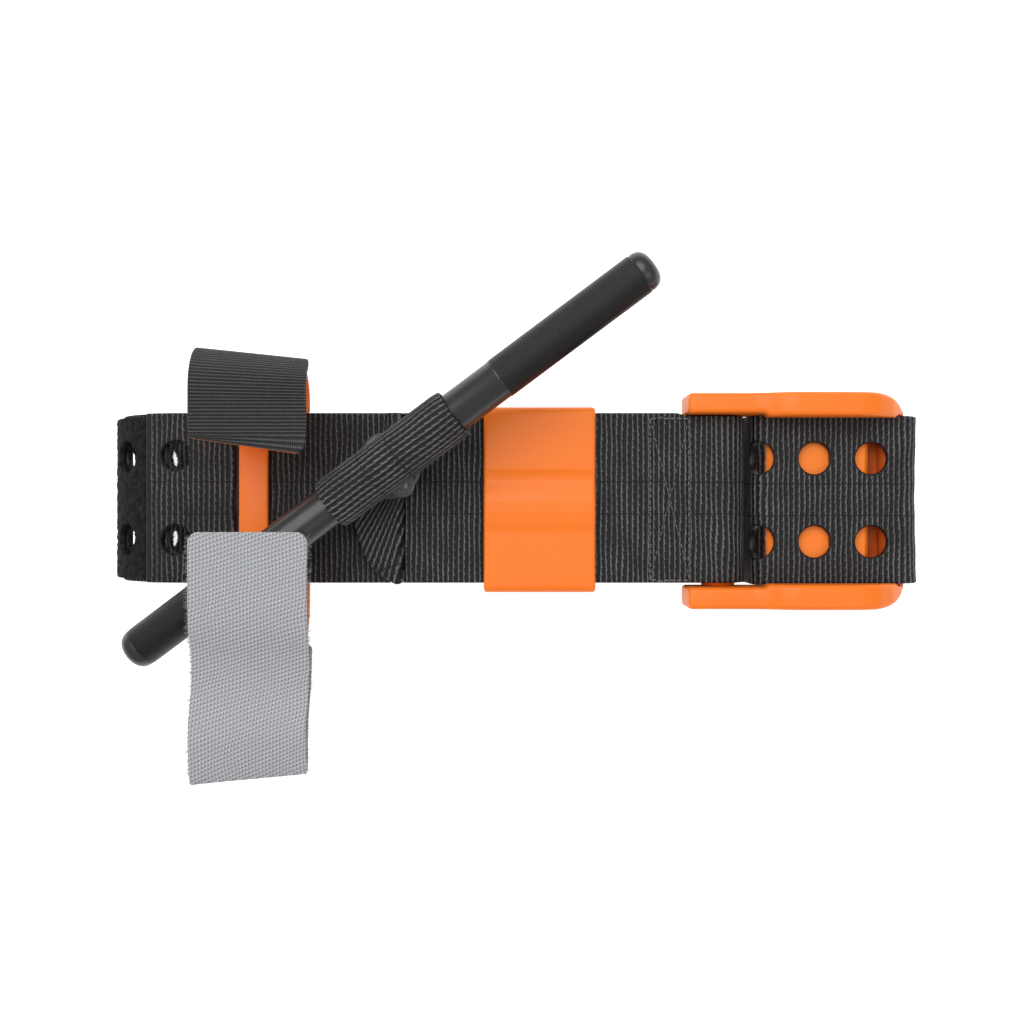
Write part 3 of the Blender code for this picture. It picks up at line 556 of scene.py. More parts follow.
def anodised(name, knurl=False, base=0.042, rough=0.28):
    """Black anodised aluminium, turned smooth, or with a fine diamond knurl. The knurl's colour has a painted highlight
    on its peaks and painted shade in its valleys.
    """
    m = Tree(name, grey(base), rough, metal=0.9 if knurl else 0.5, spec=0.5)
    c = m.object_coords()
    cloud, fine = m.noise(c, 90.0, 3.0), m.noise(c, 4000.0, 2.0)
    if not knurl:
        m.set("Base Color", m.ramp(cloud, ((0.2, grey(base * 0.9)), (0.8, grey(base * 1.12)))))
        m.set("Roughness", m.f("MULTIPLY_ADD", m.f("ADD", cloud, m.f("MULTIPLY", fine, 0.5)), 0.1, rough - 0.07))
        m.set("Normal", m.bump(fine, 0.00001, 0.4))
        return m.m
    a, z, w = m.split(m.attribute("weave").outputs["Vector"])
    p = 2 * math.pi / 0.42
    one = m.f("COSINE", m.f("MULTIPLY", m.f("ADD", a, m.f("MULTIPLY", z, 0.6)), p))
    two = m.f("COSINE", m.f("MULTIPLY", m.f("SUBTRACT", a, m.f("MULTIPLY", z, 0.6)), p))
    peak = m.f("MULTIPLY_ADD", m.f("ADD", one, two), 0.25, 0.5)
    # knurl colour from peak height: painted highlight on the peaks, painted shade in the valleys, with a little random
    # tone
    painted_shade_and_tone = m.f("ADD", m.f("MULTIPLY", peak, 0.8), m.f("MULTIPLY", fine, 0.25), clamp=True)
    m.set("Base Color", m.ramp(painted_shade_and_tone, ((0.1, grey(base * 0.35)), (0.55, grey(base * 0.8)), (1.0, grey(base * 1.7)))))
    m.set("Roughness", m.f("MULTIPLY_ADD", peak, -0.12, 0.46))
    m.set("Normal", m.bump(peak, 0.00009, 0.75))
    return m.m


def bare_steel(name):
    m = Tree(name, (0.52, 0.52, 0.53), 0.28, metal=1.0)
    c = m.object_coords()
    cloud = m.noise(c, 900.0, 3.0)
    m.set("Roughness", m.f("MULTIPLY_ADD", cloud, 0.25, 0.16))
    m.set("Base Color", m.ramp(cloud, ((0.2, (0.44, 0.44, 0.45)), (0.8, (0.58, 0.58, 0.59)))))
    return m.m


def thread(name, base=0.07):
    m = Tree(name, grey(base), 0.5, spec=0.4)
    c = m.object_coords()
    ply = m.noise(c, 3500.0, 1.0)
    m.set("Base Color", m.ramp(ply, ((0.3, grey(base * 0.45)), (0.7, grey(base * 1.5)))))
    m.set("Normal", m.bump(ply, 0.00008, 0.6))
    return m.m


WEB = webbing("webbing_black", 0.85)
# a darker copy of the same webbing: painted shade for the belt end and strap at the left
WEB_PAINTED_SHADE = webbing("webbing_black_left_painted_shade", 0.68)
PILE = pile_cloth("pile_black")
TWILL = grey_twill("twill_grey")
TWILL_HAIR = Tree("twill_hair", (0.27, 0.275, 0.29), 0.8, spec=0.2).m
CORD = corded("hook_tape_black")
ORANGE = satin_orange("plastic_orange")
ORANGE_IN = satin_orange("plastic_orange_plate", (1.0, 0.225, 0.015), 0.42)
# the same orange plastic made darker: painted shade for the floor plate and end bar in shadow inside the buckle
ORANGE_PAINTED_SHADE = satin_orange("plastic_orange_painted_shade", (0.56, 0.095, 0.010), 0.5)
ALU = anodised("alloy_black")
ALU_KNURL = anodised("alloy_black_knurled", True, 0.031)
ALU_COLLAR = anodised("alloy_black_collar", base=0.05, rough=0.22)
# the same black alloy made lighter: a painted highlight on the collar button
ALU_BUTTON_PAINTED_HIGHLIGHT = anodised("alloy_black_button_painted_highlight", base=0.09, rough=0.2)
STEEL = bare_steel("steel_bare")
THREAD = thread("thread_black", 0.12)

# ---------------------------------------------------------------- belt
STEP = (0.2, 0.46)
turn = [(-69.2, UNDER_Z)] + arc(TURN_X, TURN_Z, TURN_R, 90, 270, 40)
right = arc(LOW_X, TURN_Z, TURN_R, 270, 360, 30)
lower_path = Path(turn + [(-68.5, WEB_T / 2), (71.9, WEB_T / 2)] + right, 0.4)
pitch_a = math.degrees(HOLE_PITCH / TURN_R)


def turn_at(theta, r=TURN_R):
    t = math.radians(theta)
    return TURN_X - r * math.sin(t), TURN_Z + r * math.cos(t)


first_low = TURN_X + (2.6 + 4 * pitch_a - 180) * math.pi / 180 * TURN_R
lower_holes = []
for i in range(4):
    s = lower_path.at(turn_at(2.6 + i * pitch_a)) + (-1.9, 0.0, 0.0, -0.4)[i]  # the belt sits a little off the holes in the outer sleeve
    stretch = (1.0, 1.0, 1.62, 1.0)[i]  # drawn longer where the turn is tightest
    lower_holes += [(s, -HOLE_ROW, HOLE_R, stretch), (s, HOLE_ROW, HOLE_R, stretch)]
x = first_low
while x < 67.3:
    s = lower_path.at((x, WEB_T / 2))
    lower_holes += [(s, -HOLE_ROW, HOLE_R), (s, HOLE_ROW, HOLE_R)]
    x += HOLE_PITCH
for a in (14.5, 58.0):
    t = math.radians(a)
    s = lower_path.at((LOW_X + TURN_R * math.sin(t), TURN_Z - TURN_R * math.cos(t)))
    lower_holes += [(s, -HOLE_ROW, HOLE_R), (s, HOLE_ROW, HOLE_R)]

split_1 = lower_path.at((-66.95, WEB_T / 2))
split_2 = lower_path.at((8.0, WEB_T / 2))
split_3 = lower_path.length


def narrow_right(surface):
    """The belt is a little narrower and lower in the frame inside the buckle."""
    def out(s, v):
        p = surface(s, v)
        w = np.clip((p[..., 0] - 45) / 25, 0, 1)
        w = w * w * (3 - 2 * w)
        p[..., 1] = p[..., 1] * (1 - w * (1 - BELT_W / WEB_W)) + BELT_Y * w
        return p
    return out


lower_surface = narrow_right(swept(lower_path))


def near(holes, low, high):
    return [h for h in holes if low - 5 < h[0] < high + 5]


v_web = lines(-WEB_W / 2, WEB_W / 2, STEP[1])
# the left end of the belt takes the darker webbing, which is painted shade
belt_left = sheet("belt_left", lower_surface, lines(0, split_1, STEP[0], (True, False)), v_web, WEB_T, WEB_PAINTED_SHADE,
                  holes=near(lower_holes, 0, split_1), depth=0.2, seal=(0.6, 0), end_low=0.6, seed=3)
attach(belt_left, "loop")
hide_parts("belt_left_turn")

belt_bottom = sheet("belt_bottom", lower_surface, lines(split_1, split_2, 0.28, (False, False)), lines(-WEB_W / 2, WEB_W / 2, 0.6), WEB_T, WEB,
                    holes=near(lower_holes, split_1, split_2), depth=0.18, end_low=1.0, seed=3)
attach(belt_bottom, "loop")
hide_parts("belt_bottom_run")

belt_low_right = sheet("belt_low_right", lower_surface, lines(split_2, split_3, 0.28, (False, False)), lines(-WEB_W / 2, WEB_W / 2, 0.6), WEB_T, WEB,
                       holes=near(lower_holes, split_2, split_3), depth=0.18, end_low=1.0, seed=3)
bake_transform(belt_low_right)

upper_points = [(BAR_X + BAR_TURN_R, TURN_Z), (BAR_X + BAR_TURN_R, BAR_Z)] + arc(BAR_X, BAR_Z, BAR_TURN_R, 0, 90, 16) + [(80.0, TOP_Z), (70.0, TOP_Z)] + \
    arc(DIP_X, TOP_Z - DIP_R, DIP_R, 90, 180, 12) + [(DIP_X - DIP_R, 26.7)] + arc(DIP_X - DIP_R - 4, 18.8 + 4, 4, 0, -90, 12) + [(12.0, 18.8)]
upper_path = Path(upper_points, 0.5)
upper_holes = []
t = math.radians(50.7)
for px, pz in ((BAR_X + BAR_TURN_R, 19.0), (80.8, TOP_Z), (68.1, TOP_Z), (DIP_X - DIP_R * math.sin(t), TOP_Z - DIP_R + DIP_R * math.cos(t)),
               (44.0, 18.8), (31.3, 18.8), (18.6, 18.8)):
    s = upper_path.at((px, pz))
    upper_holes += [(s, -HOLE_ROW - 0.1, HOLE_R), (s, HOLE_ROW - 0.1, HOLE_R)]


def shift_y(surface, dy, scale=1.0, more=None):
    def out(s, v):
        p = surface(s, v)
        p[..., 1] = p[..., 1] * scale + dy
        return more(p) if more else p
    return out


def puckered(p):
    """The belt stands out a little beside each row of holes on its way round the bar."""
    w = np.clip((p[..., 0] - 86) / 4, 0, 1)
    dip = np.exp(-((p[..., 0] - 55) / 3.0) ** 2)
    p[..., 1] = BELT_Y + (p[..., 1] - BELT_Y) * (1 + 0.016 * dip)
    under = np.exp(-((p[..., 0] - 50) / 4.0) ** 2) * np.clip((26.0 - p[..., 2]) / 2.0, 0, 1)
    p[..., 1] += 0.6 * under * np.clip((p[..., 1] - BELT_Y) / 18.5, 0, 1)
    p[..., 0] += w * (0.22 * np.cos((p[..., 1] + 0.5) / 9.45 * 2 * np.pi * 0.5 + np.pi) * np.cos(p[..., 1] / 2.1) * 0.4 - 0.12 * np.cos(p[..., 1] / 6.2))
    return p


upper_surface = shift_y(swept(upper_path), BELT_Y, BELT_W / WEB_W, puckered)
belt_upper = sheet("belt_upper", upper_surface, lines(0, upper_path.length, 0.22, (False, True)), v_web, WEB_T, WEB,
                   holes=upper_holes, depth=0.2, seal=(0, 0.8), end_low=0.9, seed=9, s0=lower_path.length)
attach(belt_upper, "buckle")
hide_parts("belt_top_run", "belt_tail", "belt_right_turn")

# ---------------------------------------------------------------- pile on the outside of the left turn
pile_path = Path(arc(TURN_X, TURN_Z, TURN_R + 1.75, 90 + 26, 90 + 148, 40), 0)
pile_holes = []
for i in range(1, 4):
    s = pile_path.at(turn_at(2.6 + i * pitch_a, TURN_R + 1.75)) + (0.0, 0.0, 0.0, -0.4)[i]
    stretch = (1.0, 1.0, 1.64, 1.0)[i]
    pile_holes += [(s, -HOLE_ROW, HOLE_R + 0.1, stretch), (s, HOLE_ROW, HOLE_R + 0.1, stretch)]


def lumps(u, v, w):
    r = np.random.default_rng(5)
    out = np.zeros_like(u)
    for k in range(14):
        a = r.uniform(0, 2 * np.pi)
        f = r.uniform(2.0, 6.0)
        out += np.sin(f * (u * math.cos(a) + v * math.sin(a)) + r.uniform(0, 6.3))
    return 0.6 + out / 9


pile = sheet("pile", swept(pile_path), lines(0, pile_path.length, 0.26), lines(-WEB_W / 2 + 0.7, WEB_W / 2 - 0.7, 0.3), 1.2, PILE, holes=pile_holes,
             depth=0.22, relief=lumps, weave="plain", hole_seal=0, seal=(0, 0), seed=21)
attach(pile, "loop")
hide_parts("pile_tape")

r = np.random.default_rng(11)
n = 4200
ps, pv = r.uniform(0.1, pile_path.length - 0.1, n), r.uniform(-18.35, 18.35, n)
clear = np.ones(n, bool)
for hs, hv, hr, stretch in pile_holes:
    clear &= np.hypot((ps - hs) / stretch, pv - hv) > hr - 0.1
ps, pv = ps[clear], pv[clear]
surf = swept(pile_path)
base = surf(ps, pv)
dn = np.cross(surf(ps + 0.05, pv) - base, surf(ps, pv + 0.05) - base)
dn /= np.linalg.norm(dn, axis=1, keepdims=True)
side = r.normal(0, 1, (len(ps), 3))
side -= (side * dn).sum(1, keepdims=True) * dn
side /= np.linalg.norm(side, axis=1, keepdims=True)
k = np.linspace(0, 1, 5)[None, :, None]
tall, wide = r.uniform(0.3, 0.85, (len(ps), 1, 1)), r.uniform(0.4, 1.1, (len(ps), 1, 1))
loops = base[:, None] + dn[:, None] * (0.5 + tall * np.sin(np.pi * k) - 0.12) + side[:, None] * wide * (k - 0.5)
v_, q_, t_ = tubes(loops, 0.085)
pile_loops = make("pile_loops", v_, q_, t_, mat=PILE)
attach(pile_loops, "loop")

# frayed yarn inside the holes that show through one another at the left turn
r = np.random.default_rng(29)
frays = []
for hs, hv, hr, reach, stretch in [(lower_path.at(turn_at(2.6 + 3 * pitch_a)) - 0.4, row, HOLE_R, 0.2, 1.0) for row in (-HOLE_ROW, HOLE_ROW)] + \
        [(lower_path.at(turn_at(2.6)) - 1.9, row, HOLE_R, 0.55, 1.0) for row in (-HOLE_ROW, HOLE_ROW)] + \
        [(lower_path.at(turn_at(2.6 + pitch_a)), row, HOLE_R, 0.5, 1.0) for row in (-HOLE_ROW, HOLE_ROW)]:
    n = 220
    a = r.uniform(0, 2 * np.pi, n)
    long_ = reach * (0.25 + np.abs(np.cos(a)) ** 1.5) * r.uniform(0.45, 1.0, n)
    turn_ = a + r.normal(0, 0.25, n)
    k = np.linspace(0, 1, 4)[None]
    rr = (hr + 0.15) - long_[:, None] * k
    aa = a[:, None] + (turn_ - a)[:, None] * k * 0.5
    ss, vv = hs + rr * stretch * np.cos(aa), hv + rr * np.sin(aa)
    surf_ = lower_surface(ss, vv)
    nn = np.cross(lower_surface(ss + 0.05, vv) - surf_, lower_surface(ss, vv + 0.05) - surf_)
    nn /= np.linalg.norm(nn, axis=-1, keepdims=True)
    frays.append(surf_ + nn * (r.uniform(-0.6, 0.6, n)[:, None] + 0.2 * r.normal(0, 1, n)[:, None] * k)[..., None])
v_, q_, t_ = tubes(np.concatenate(frays), 0.085)
fray = make("hole_yarns", v_, q_, t_, mat=PILE)
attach(fray, "loop")

# ---------------------------------------------------------------- front strap
left_path = Path(arc(TURN_X, TURN_Z, STRAP_R, 90 + 25, 90, 10) + [
    (-63.0, STRAP_Z), (-62.3, STRAP_Z - 0.45), (-61.8, 33.70), (-61.2, 33.35),
    (-54.5, 33.35), (-53.9, 33.70), (-53.4, STRAP_Z - 0.45), (-52.7, STRAP_Z), (-27.3, STRAP_Z)], 0.9)
s = left_path.at(turn_at(2.6, STRAP_R))
# the left strap takes the darker webbing, which is painted shade
front_left = sheet("front_left", swept(left_path), lines(0, left_path.length, STEP[0]), v_web, WEB_T, WEB_PAINTED_SHADE,
                   holes=[(s, -HOLE_ROW, 3.3), (s, HOLE_ROW, 3.3)], depth=0.2, seal=(1.3, 0.4), end_low=0.5, seed=31)
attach(front_left, "loop")
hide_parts("front_strap_left")

LOOP_R = PIN_R + 0.3 + WEB_T / 2
right_points = [(-24.2, STRAP_Z), (37.4, STRAP_Z), (40.6, STRAP_Z)] + arc(PIN[0], PIN[1], LOOP_R, 108, -160, 50) + \
    [(41.3, 30.7), (40.2, 32.1), (38.8, UNDER_Z - 0.1), (37.4, UNDER_Z), (29.5, UNDER_Z)]
right_path = Path(right_points, 0.5)


def drawn_in(p):
    """The sewn loop is drawn in a little between the rails."""
    w = np.clip((p[..., 0] - 36.6) / 3.0, 0, 1)
    w = w * w * (3 - 2 * w)
    p[..., 1] = p[..., 1] - w * np.clip(p[..., 1], 0, None) / 19.05 * 0.62
    return p


front_right = sheet("front_right", shift_y(swept(right_path), 0.0, 1.0, drawn_in), lines(0, right_path.length, STEP[0]), v_web, WEB_T, WEB,
                    depth=0.2, seal=(0.4, 0.8), end_low=0.5, seed=41)
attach(front_right, "loop")
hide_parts("front_strap_right")

base_path = Path([(-43.6, UNDER_Z), (28.6, UNDER_Z)], 0)
tension_base = sheet("tension_base", swept(base_path), lines(0, base_path.length, 0.26), lines(-16.8, 16.8, 0.5), WEB_T, WEB, depth=0.16, seal=(0.8, 0.8), seed=51)
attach(tension_base, "loop")
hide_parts("tension_strap_base")

# ---------------------------------------------------------------- box-and-cross seam: separate stitches that dip into the webbing
sx0, sx1, sy0, sy1 = 30.9, 39.7, -18.5, 17.8
stitch_lines = [((sx0, sy0), (sx1, sy0)), ((sx1, sy0), (sx1, sy1)), ((sx1, sy1), (sx0, sy1)), ((sx0, sy1), (sx0, sy0)), ((sx0, sy0), (sx1, sy1)), ((sx0, sy1), (sx1, sy0))]
curves = []
r = np.random.default_rng(3)
for p, q in stitch_lines:
    p, q = np.array(p), np.array(q)
    length = np.linalg.norm(q - p)
    count = int(round(length / 1.42))
    d = (q - p) / length
    nrm = np.array((-d[1], d[0]))
    for i in range(count):
        a, b = (i + 0.06) / count, (i + 0.94) / count
        k = np.linspace(0, 1, 7)
        off = r.normal(0, 0.05)
        xy = p + (q - p) * (a + (b - a) * k)[:, None] + nrm * (off + 0.06 * np.sin(np.pi * k))[:, None]
        z = H - 0.2 + 0.5 * np.sin(np.pi * k) ** 0.5
        curves.append(np.column_stack([xy, z]))
sides = sum(int(round(np.linalg.norm(np.array(q) - np.array(p)) / 1.42)) for p, q in stitch_lines[:4])
v_, q_, t_ = join_arrays([tubes(np.array(curves[:sides]), 0.22, 4), tubes(np.array(curves[sides:]), 0.16, 4)])
seam = make("seam_stitches", v_, q_, t_, mat=THREAD)
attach(seam, "loop")
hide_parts("box_seam")

# ---------------------------------------------------------------- twisted legs of the tension strap
def flap(left, right, rise, seed, name, coords, steps):
    """A patch between two lines; s runs from the left line to the right one, v up both lines."""
    def surface(s, v):
        a, w = np.clip(s / 10.0, -0.02, 1.02), np.clip(v / 20.0, -0.01, 1.01)
        lx, ly = left(w * left.length)
        rx, ry = right(w * right.length)
        x, y = lx + (rx - lx) * a, ly + (ry - ly) * a
        wall = np.clip((x + 25.6) / 1.1, 0, 1)  # it comes up beside the edge of the right strap
        z = H + 0.78 + rise(w) * np.clip(1 - a, 0, 1) ** 0.7 * 0.5 + rise(w) * 0.5 - 1.9 * wall ** 1.6
        z = z + 0.35 * np.sin(np.pi * np.clip(a, 0, 1)) + 0.25 * np.clip(1 - a / 0.12, 0, 1)
        return np.stack([x, y, z], -1)
    o = sheet(name, surface, lines(0.0, 10.0, steps[0], (True, False)), lines(0.0, 20.0, steps[1]), 1.05, WEB, depth=0.2, seed=seed, flip=True, end_low=0.7, side_low=0.6,
              coords=coords, loose=0.4, hole_seal=0, round_r=0.3)
    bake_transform(o)
    return o


def radiating(p):
    """Ribs that fan out from a point up and to the right."""
    dx, dy = p[..., 0] + 18.6, p[..., 1] - 17.1
    rho, phi = np.hypot(dx, dy), np.arctan2(-dx, -dy)
    return phi * 30.0, rho


flap_low = flap(Path([(-25.6, -19.05), (-27.0, -18.7), (-30.2, -16.9), (-32.6, -13.6), (-34.0, -9.6), (-35.3, -5.4), (-35.8, -1.5), (-35.0, 2.5), (-33.0, 6.0)], 1.4),
                Path([(-24.42, -19.05), (-24.42, 7.0)], 0), lambda w: 2.6 * w ** 1.6, 61, "tension_flap_low", radiating, (0.17, 0.3))
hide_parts("tension_strap_twist")
flap_high = flap(Path([(-27.9, 7.0), (-30.2, 9.4), (-29.4, 12.4), (-28.4, 15.0), (-27.75, 17.2), (-27.6, 19.0)], 1.0),
                 Path([(-24.42, 7.0), (-24.42, 19.0)], 0), lambda w: 2.4 * (1 - w) ** 1.6, 62, "tension_flap_high", lambda p: (p[..., 0], p[..., 1]), (0.5, 0.6))

# ---------------------------------------------------------------- windlass
B = np.cross((0, 0, 1.0), ROD_AX)
B /= np.linalg.norm(B)
C = np.cross(ROD_AX, B)


def on_rod(b, c, along):
    return ROD_MID + np.multiply.outer(b, B) + np.multiply.outer(c, C) + np.multiply.outer(along, ROD_AX)


tunnel_path = Path([(-0.75, -6.9), (-1.1, -6.1)] + [(5.28 * math.sin(math.radians(a)), 5.28 * math.cos(math.radians(a))) for a in np.linspace(-166, 166, 90)] + [(1.1, -6.1), (0.75, -6.9)], 1.0)


def tunnel_surface(s, v):
    b, c = tunnel_path(s)
    drop = np.clip((-c - 4.6) / 2.3, 0, 1)
    along = 1.8 + (v - 1.8) * (1 - 0.72 * drop)
    # the sewn ends pull in a little
    grip = 1 - 0.035 * np.exp(-((16.7 - np.abs(v - 1.8)) / 1.4) ** 2)
    return on_rod(b * grip, c * grip, along)


tunnel = sheet("tension_tunnel", tunnel_surface, lines(0, tunnel_path.length, 0.2, (False, False)), lines(-14.9, 18.5, 0.36), 0.9, WEB,
               depth=0.24, seed=71, flip=False, round_r=0.35)
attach(tunnel, "windlass")
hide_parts("tension_strap_tunnel")

e = ROD_L / 2
nose = [(0.0, e), (0.9, e - 0.02), (1.7, e - 0.09), (2.4, e - 0.24), (3.0, e - 0.48), (3.5, e - 0.82), (3.9, e - 1.24), (4.2, e - 1.75), (4.38, e - 2.3), (4.46, e - 2.9),
        (4.46, e - 3.35), (4.38, e - 3.42), (4.34, e - 3.55), (4.4, e - 3.66)]
# knurled length, as a body of its own so that the diamonds follow its own distances
def knurled(sign, name):
    z0, z1 = e - 3.68, e - 40.0
    zs = np.linspace(z0, z1, 150)
    m = 120
    ang = 2 * np.pi * np.arange(m) / m
    Z, A = np.meshgrid(zs, ang, indexing="ij")
    p = 2 * np.pi / 0.42
    a_mm = A * m * 0.42 * round(28.6 / 0.42) / m / (2 * np.pi)
    fade = np.clip(np.minimum(z0 - Z, Z - z1) / 0.3, 0, 1)
    rad = ROD_R - 0.03 + 0.03 * fade
    pos = on_rod(rad * np.cos(A), rad * np.sin(A), Z * sign)
    idx = np.arange(len(zs) * m).reshape(len(zs), m)
    nxt = np.roll(idx, -1, axis=1)
    quads = np.stack([idx[:-1], idx[1:], nxt[1:], nxt[:-1]], -1).reshape(-1, 4)
    if sign < 0:
        quads = quads[:, ::-1]
    return pos.reshape(-1, 3), quads, np.zeros((0, 3), int), np.stack([a_mm.ravel(), Z.ravel(), Z.ravel() * 0], -1)


half = nose + [(ROD_R - 0.05, e - 3.8), (ROD_R - 0.05, e - 39.9), (ROD_R, e - 40.05), (ROD_R, e - 40.3), (ROD_R - 0.12, e - 40.55)]
full = half + [(rr, -zz) for rr, zz in reversed(half)]
v_, q_, t_ = lathe_arrays(full, ROD_MID, ROD_AX, 96)
rod = make("windlass", v_, q_, t_, mat=ALU)
rod.data.set_sharp_from_angle(angle=math.radians(40))
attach(rod, "windlass")
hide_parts("windlass_rod")
for sign, name in ((1, "windlass_grip_right"), (-1, "windlass_grip_left")):
    v_, q_, t_, w_ = knurled(sign, name)
    g = make(name, v_, q_, t_, mat=ALU_KNURL, attrs={"weave": w_})
    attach(g, "windlass")

collar_profile = [(0, 6.8), (4.2, 6.8), (4.8, 6.7), (5.1, 6.4), (5.15, 5.6), (5.35, 5.3), (6.6, 5.22), (7.1, 5.1), (7.38, 4.8), (7.45, 4.4), (7.45, 4.0), (7.35, 3.6), (7.05, 3.3), (6.6, 3.2), (0, 3.2)]
v_, q_, t_ = lathe_arrays(collar_profile, (ROD_MID[0], ROD_MID[1], H), (0, 0, 1), 72)
collar = make("collar", v_, q_, t_, mat=ALU_COLLAR)
collar.data.set_sharp_from_angle(angle=math.radians(50))
button_profile = [(0, 0.78), (0.9, 0.74), (1.45, 0.60), (1.8, 0.36), (1.9, 0.16), (2.1, 0.12), (2.6, 0.2), (2.85, 0.12), (2.95, -0.1), (2.95, -0.4), (0, -0.4)]
v_, q_, t_ = lathe_arrays(button_profile, (-24.3, 2.9, H + 5.3), (0.1, -0.1, 1), 48)
button = make("collar_button", v_, q_, t_, mat=ALU_BUTTON_PAINTED_HIGHLIGHT)
button.data.set_sharp_from_angle(angle=math.radians(55))
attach(button, "windlass")
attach(collar, "windlass")
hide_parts("windlass_collar", "collar_rivet")


# ---------------------------------------------------------------- clip
def ease(x):
    x = np.clip(x, 0, 1)
    return x * x * (3 - 2 * x)


def lean_points(co):
    x, y = co[:, 0], co[:, 1].copy()
    wall = np.clip(y - 20, 0, None)
    y = y - LEAN * (x - CLIP_X0) * wall / 12
    lip = np.clip((13 - co[:, 1]) / 2.4, 0, 1) * (co[:, 2] > H + 10)
    y = y - SLANT * (x - CLIP_MID) * lip
    co = co.copy()
    co[:, 1] = y
    return co


def tapered(co):
    """The hooks are a little narrower low down on their outside."""
    co = co.copy()
    w = ease((np.abs(co[:, 1]) - 16) / 4) * ease((ARM_TOP - 2 - co[:, 2]) / 11)
    co[:, 0] -= 1.65 * w * np.clip((co[:, 0] - CLIP_MID) / 12.3, 0, 1.05)
    return co


def corners(radius, s_end, v_lo, v_hi, sign):
    """Rounds the two corners at one end of a strip; sign is +1 at its first end and -1 at its last."""
    def cut(S, V):
        for edge, inward in ((v_lo, 1), (v_hi, -1)):
            w = np.clip((radius - (V - edge) * inward) / radius, 0, 1)
            lift = radius * (1 - np.sqrt(np.clip(1 - w * w, 0, 1)))
            S = S + sign * lift * np.clip(1 - np.abs(S - s_end) / 6.0, 0, 1)
        return S, V
    return cut


def arm_path(lip, dy=0.0):
    low_c, top_c, h = (23.0 - dy, ARM_LOW + 9.0), (24.0 - dy, ARM_TOP - 8.0), ARM_T / 2
    return Path([(19.5, ARM_LOW + h)] + arc(low_c[0], low_c[1], 9.0 - h, -90, 0, 24) + arc(top_c[0], top_c[1], 8.0 - h, 0, 90, 24) + [(lip, ARM_TOP - h)], 0.6)


def plain_sheet(name, surface, s, v, thick, flip=False, after=None, round_r=0.55, swell=None, cut=None):
    return sheet(name, surface, s, v, thick, ORANGE, weave="plain", depth=0.0, flip=flip, after=after, side_low=0.3, end_low=0.3, round_r=round_r, hole_seal=0, swell=swell, cut=cut)


EDGE_SOFT = [0.0, 0.04, 0.12, 0.25, 0.4, 0.6]
up_path, down_path = arm_path(LIP_UP + 0.1, 1.0), arm_path(LIP_DOWN)


def soft_lines(low, high, step):
    n = max(2, round((high - low - 1.2) / step))
    return np.concatenate([[low + x for x in EDGE_SOFT], np.linspace(low + 0.6, high - 0.6, n + 1)[1:-1], [high - x for x in reversed(EDGE_SOFT)]])


upper_hook = plain_sheet("clip", swept(up_path, "YZ"), soft_lines(0, up_path.length, 0.5), soft_lines(CLIP_X0, CLIP_X1, 0.5), ARM_T,
                         after=lambda co: lean_points(tapered(co)), cut=corners(1.9, up_path.length, CLIP_X0, CLIP_X1, -1))


def mirrored(surface):
    def out(s, v):
        p = surface(s, v)
        p[..., 1] = -p[..., 1]
        return p
    return out


lower_hook = plain_sheet("clip_lower", mirrored(swept(down_path, "YZ")), soft_lines(0, down_path.length, 0.5), soft_lines(CLIP_X0, CLIP_X1, 0.5), ARM_T, flip=False,
                         after=tapered, cut=corners(1.9, down_path.length, CLIP_X0, CLIP_X1, -1))
bars = [box_arrays((CLIP_X0, -21.0, ARM_LOW), (-63.6, 21.0, ARM_LOW + ARM_T), 0.5), box_arrays((-52.1, -21.0, ARM_LOW), (CLIP_X1 - 1.8, 21.0, ARM_LOW + ARM_T), 0.5),
        box_arrays((-61.1, -22.5, 34.5), (-54.6, 22.5, 36.4), 0.4)]
for side in (-1, 1):
    y0, y1 = sorted((side * 19.5, side * 22.5))
    bars.append(box_arrays((-61.1, y0, ARM_LOW + 0.4), (-54.6, y1, 36.4), 0.4))
v_, q_, t_ = join_arrays(bars)
bar = make("clip_bar", v_, q_, t_, mat=ORANGE)
bar.data.set_sharp_from_angle(angle=math.radians(50))
for o in (upper_hook, lower_hook, bar):
    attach(o, "loop")
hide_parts("clip_body")

# ---------------------------------------------------------------- hook tape over the upper hook
TAPE_T = 1.2
TOP_C = (23.0, ARM_TOP - 8.0)
tape_path = Path([(31.9, H + 5.0)] + arc(TOP_C[0], TOP_C[1], 8.9, 0, 90, 24) + [(10.75, ARM_TOP + 0.9)], 0.6)


def cords(u, v, w):
    return 0.5 + 0.5 * np.cos(2 * np.pi * u / 0.76)


tape = sheet("hook_tape_strip", swept(tape_path, "YZ"), lines(0, tape_path.length, 0.125), lines(CLIP_X0 + 0.2, CLIP_X1 + 0.6, 0.3), TAPE_T, CORD,
             relief=cords, depth=0.19, weave="plain", seed=81, after=lambda co: lean_points(tapered(co)), hole_seal=0,
             loose=0.08, cut=corners(2.2, tape_path.length, CLIP_X0 + 0.2, CLIP_X1 + 0.6, -1))
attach(tape, "loop")
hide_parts("hook_tape")

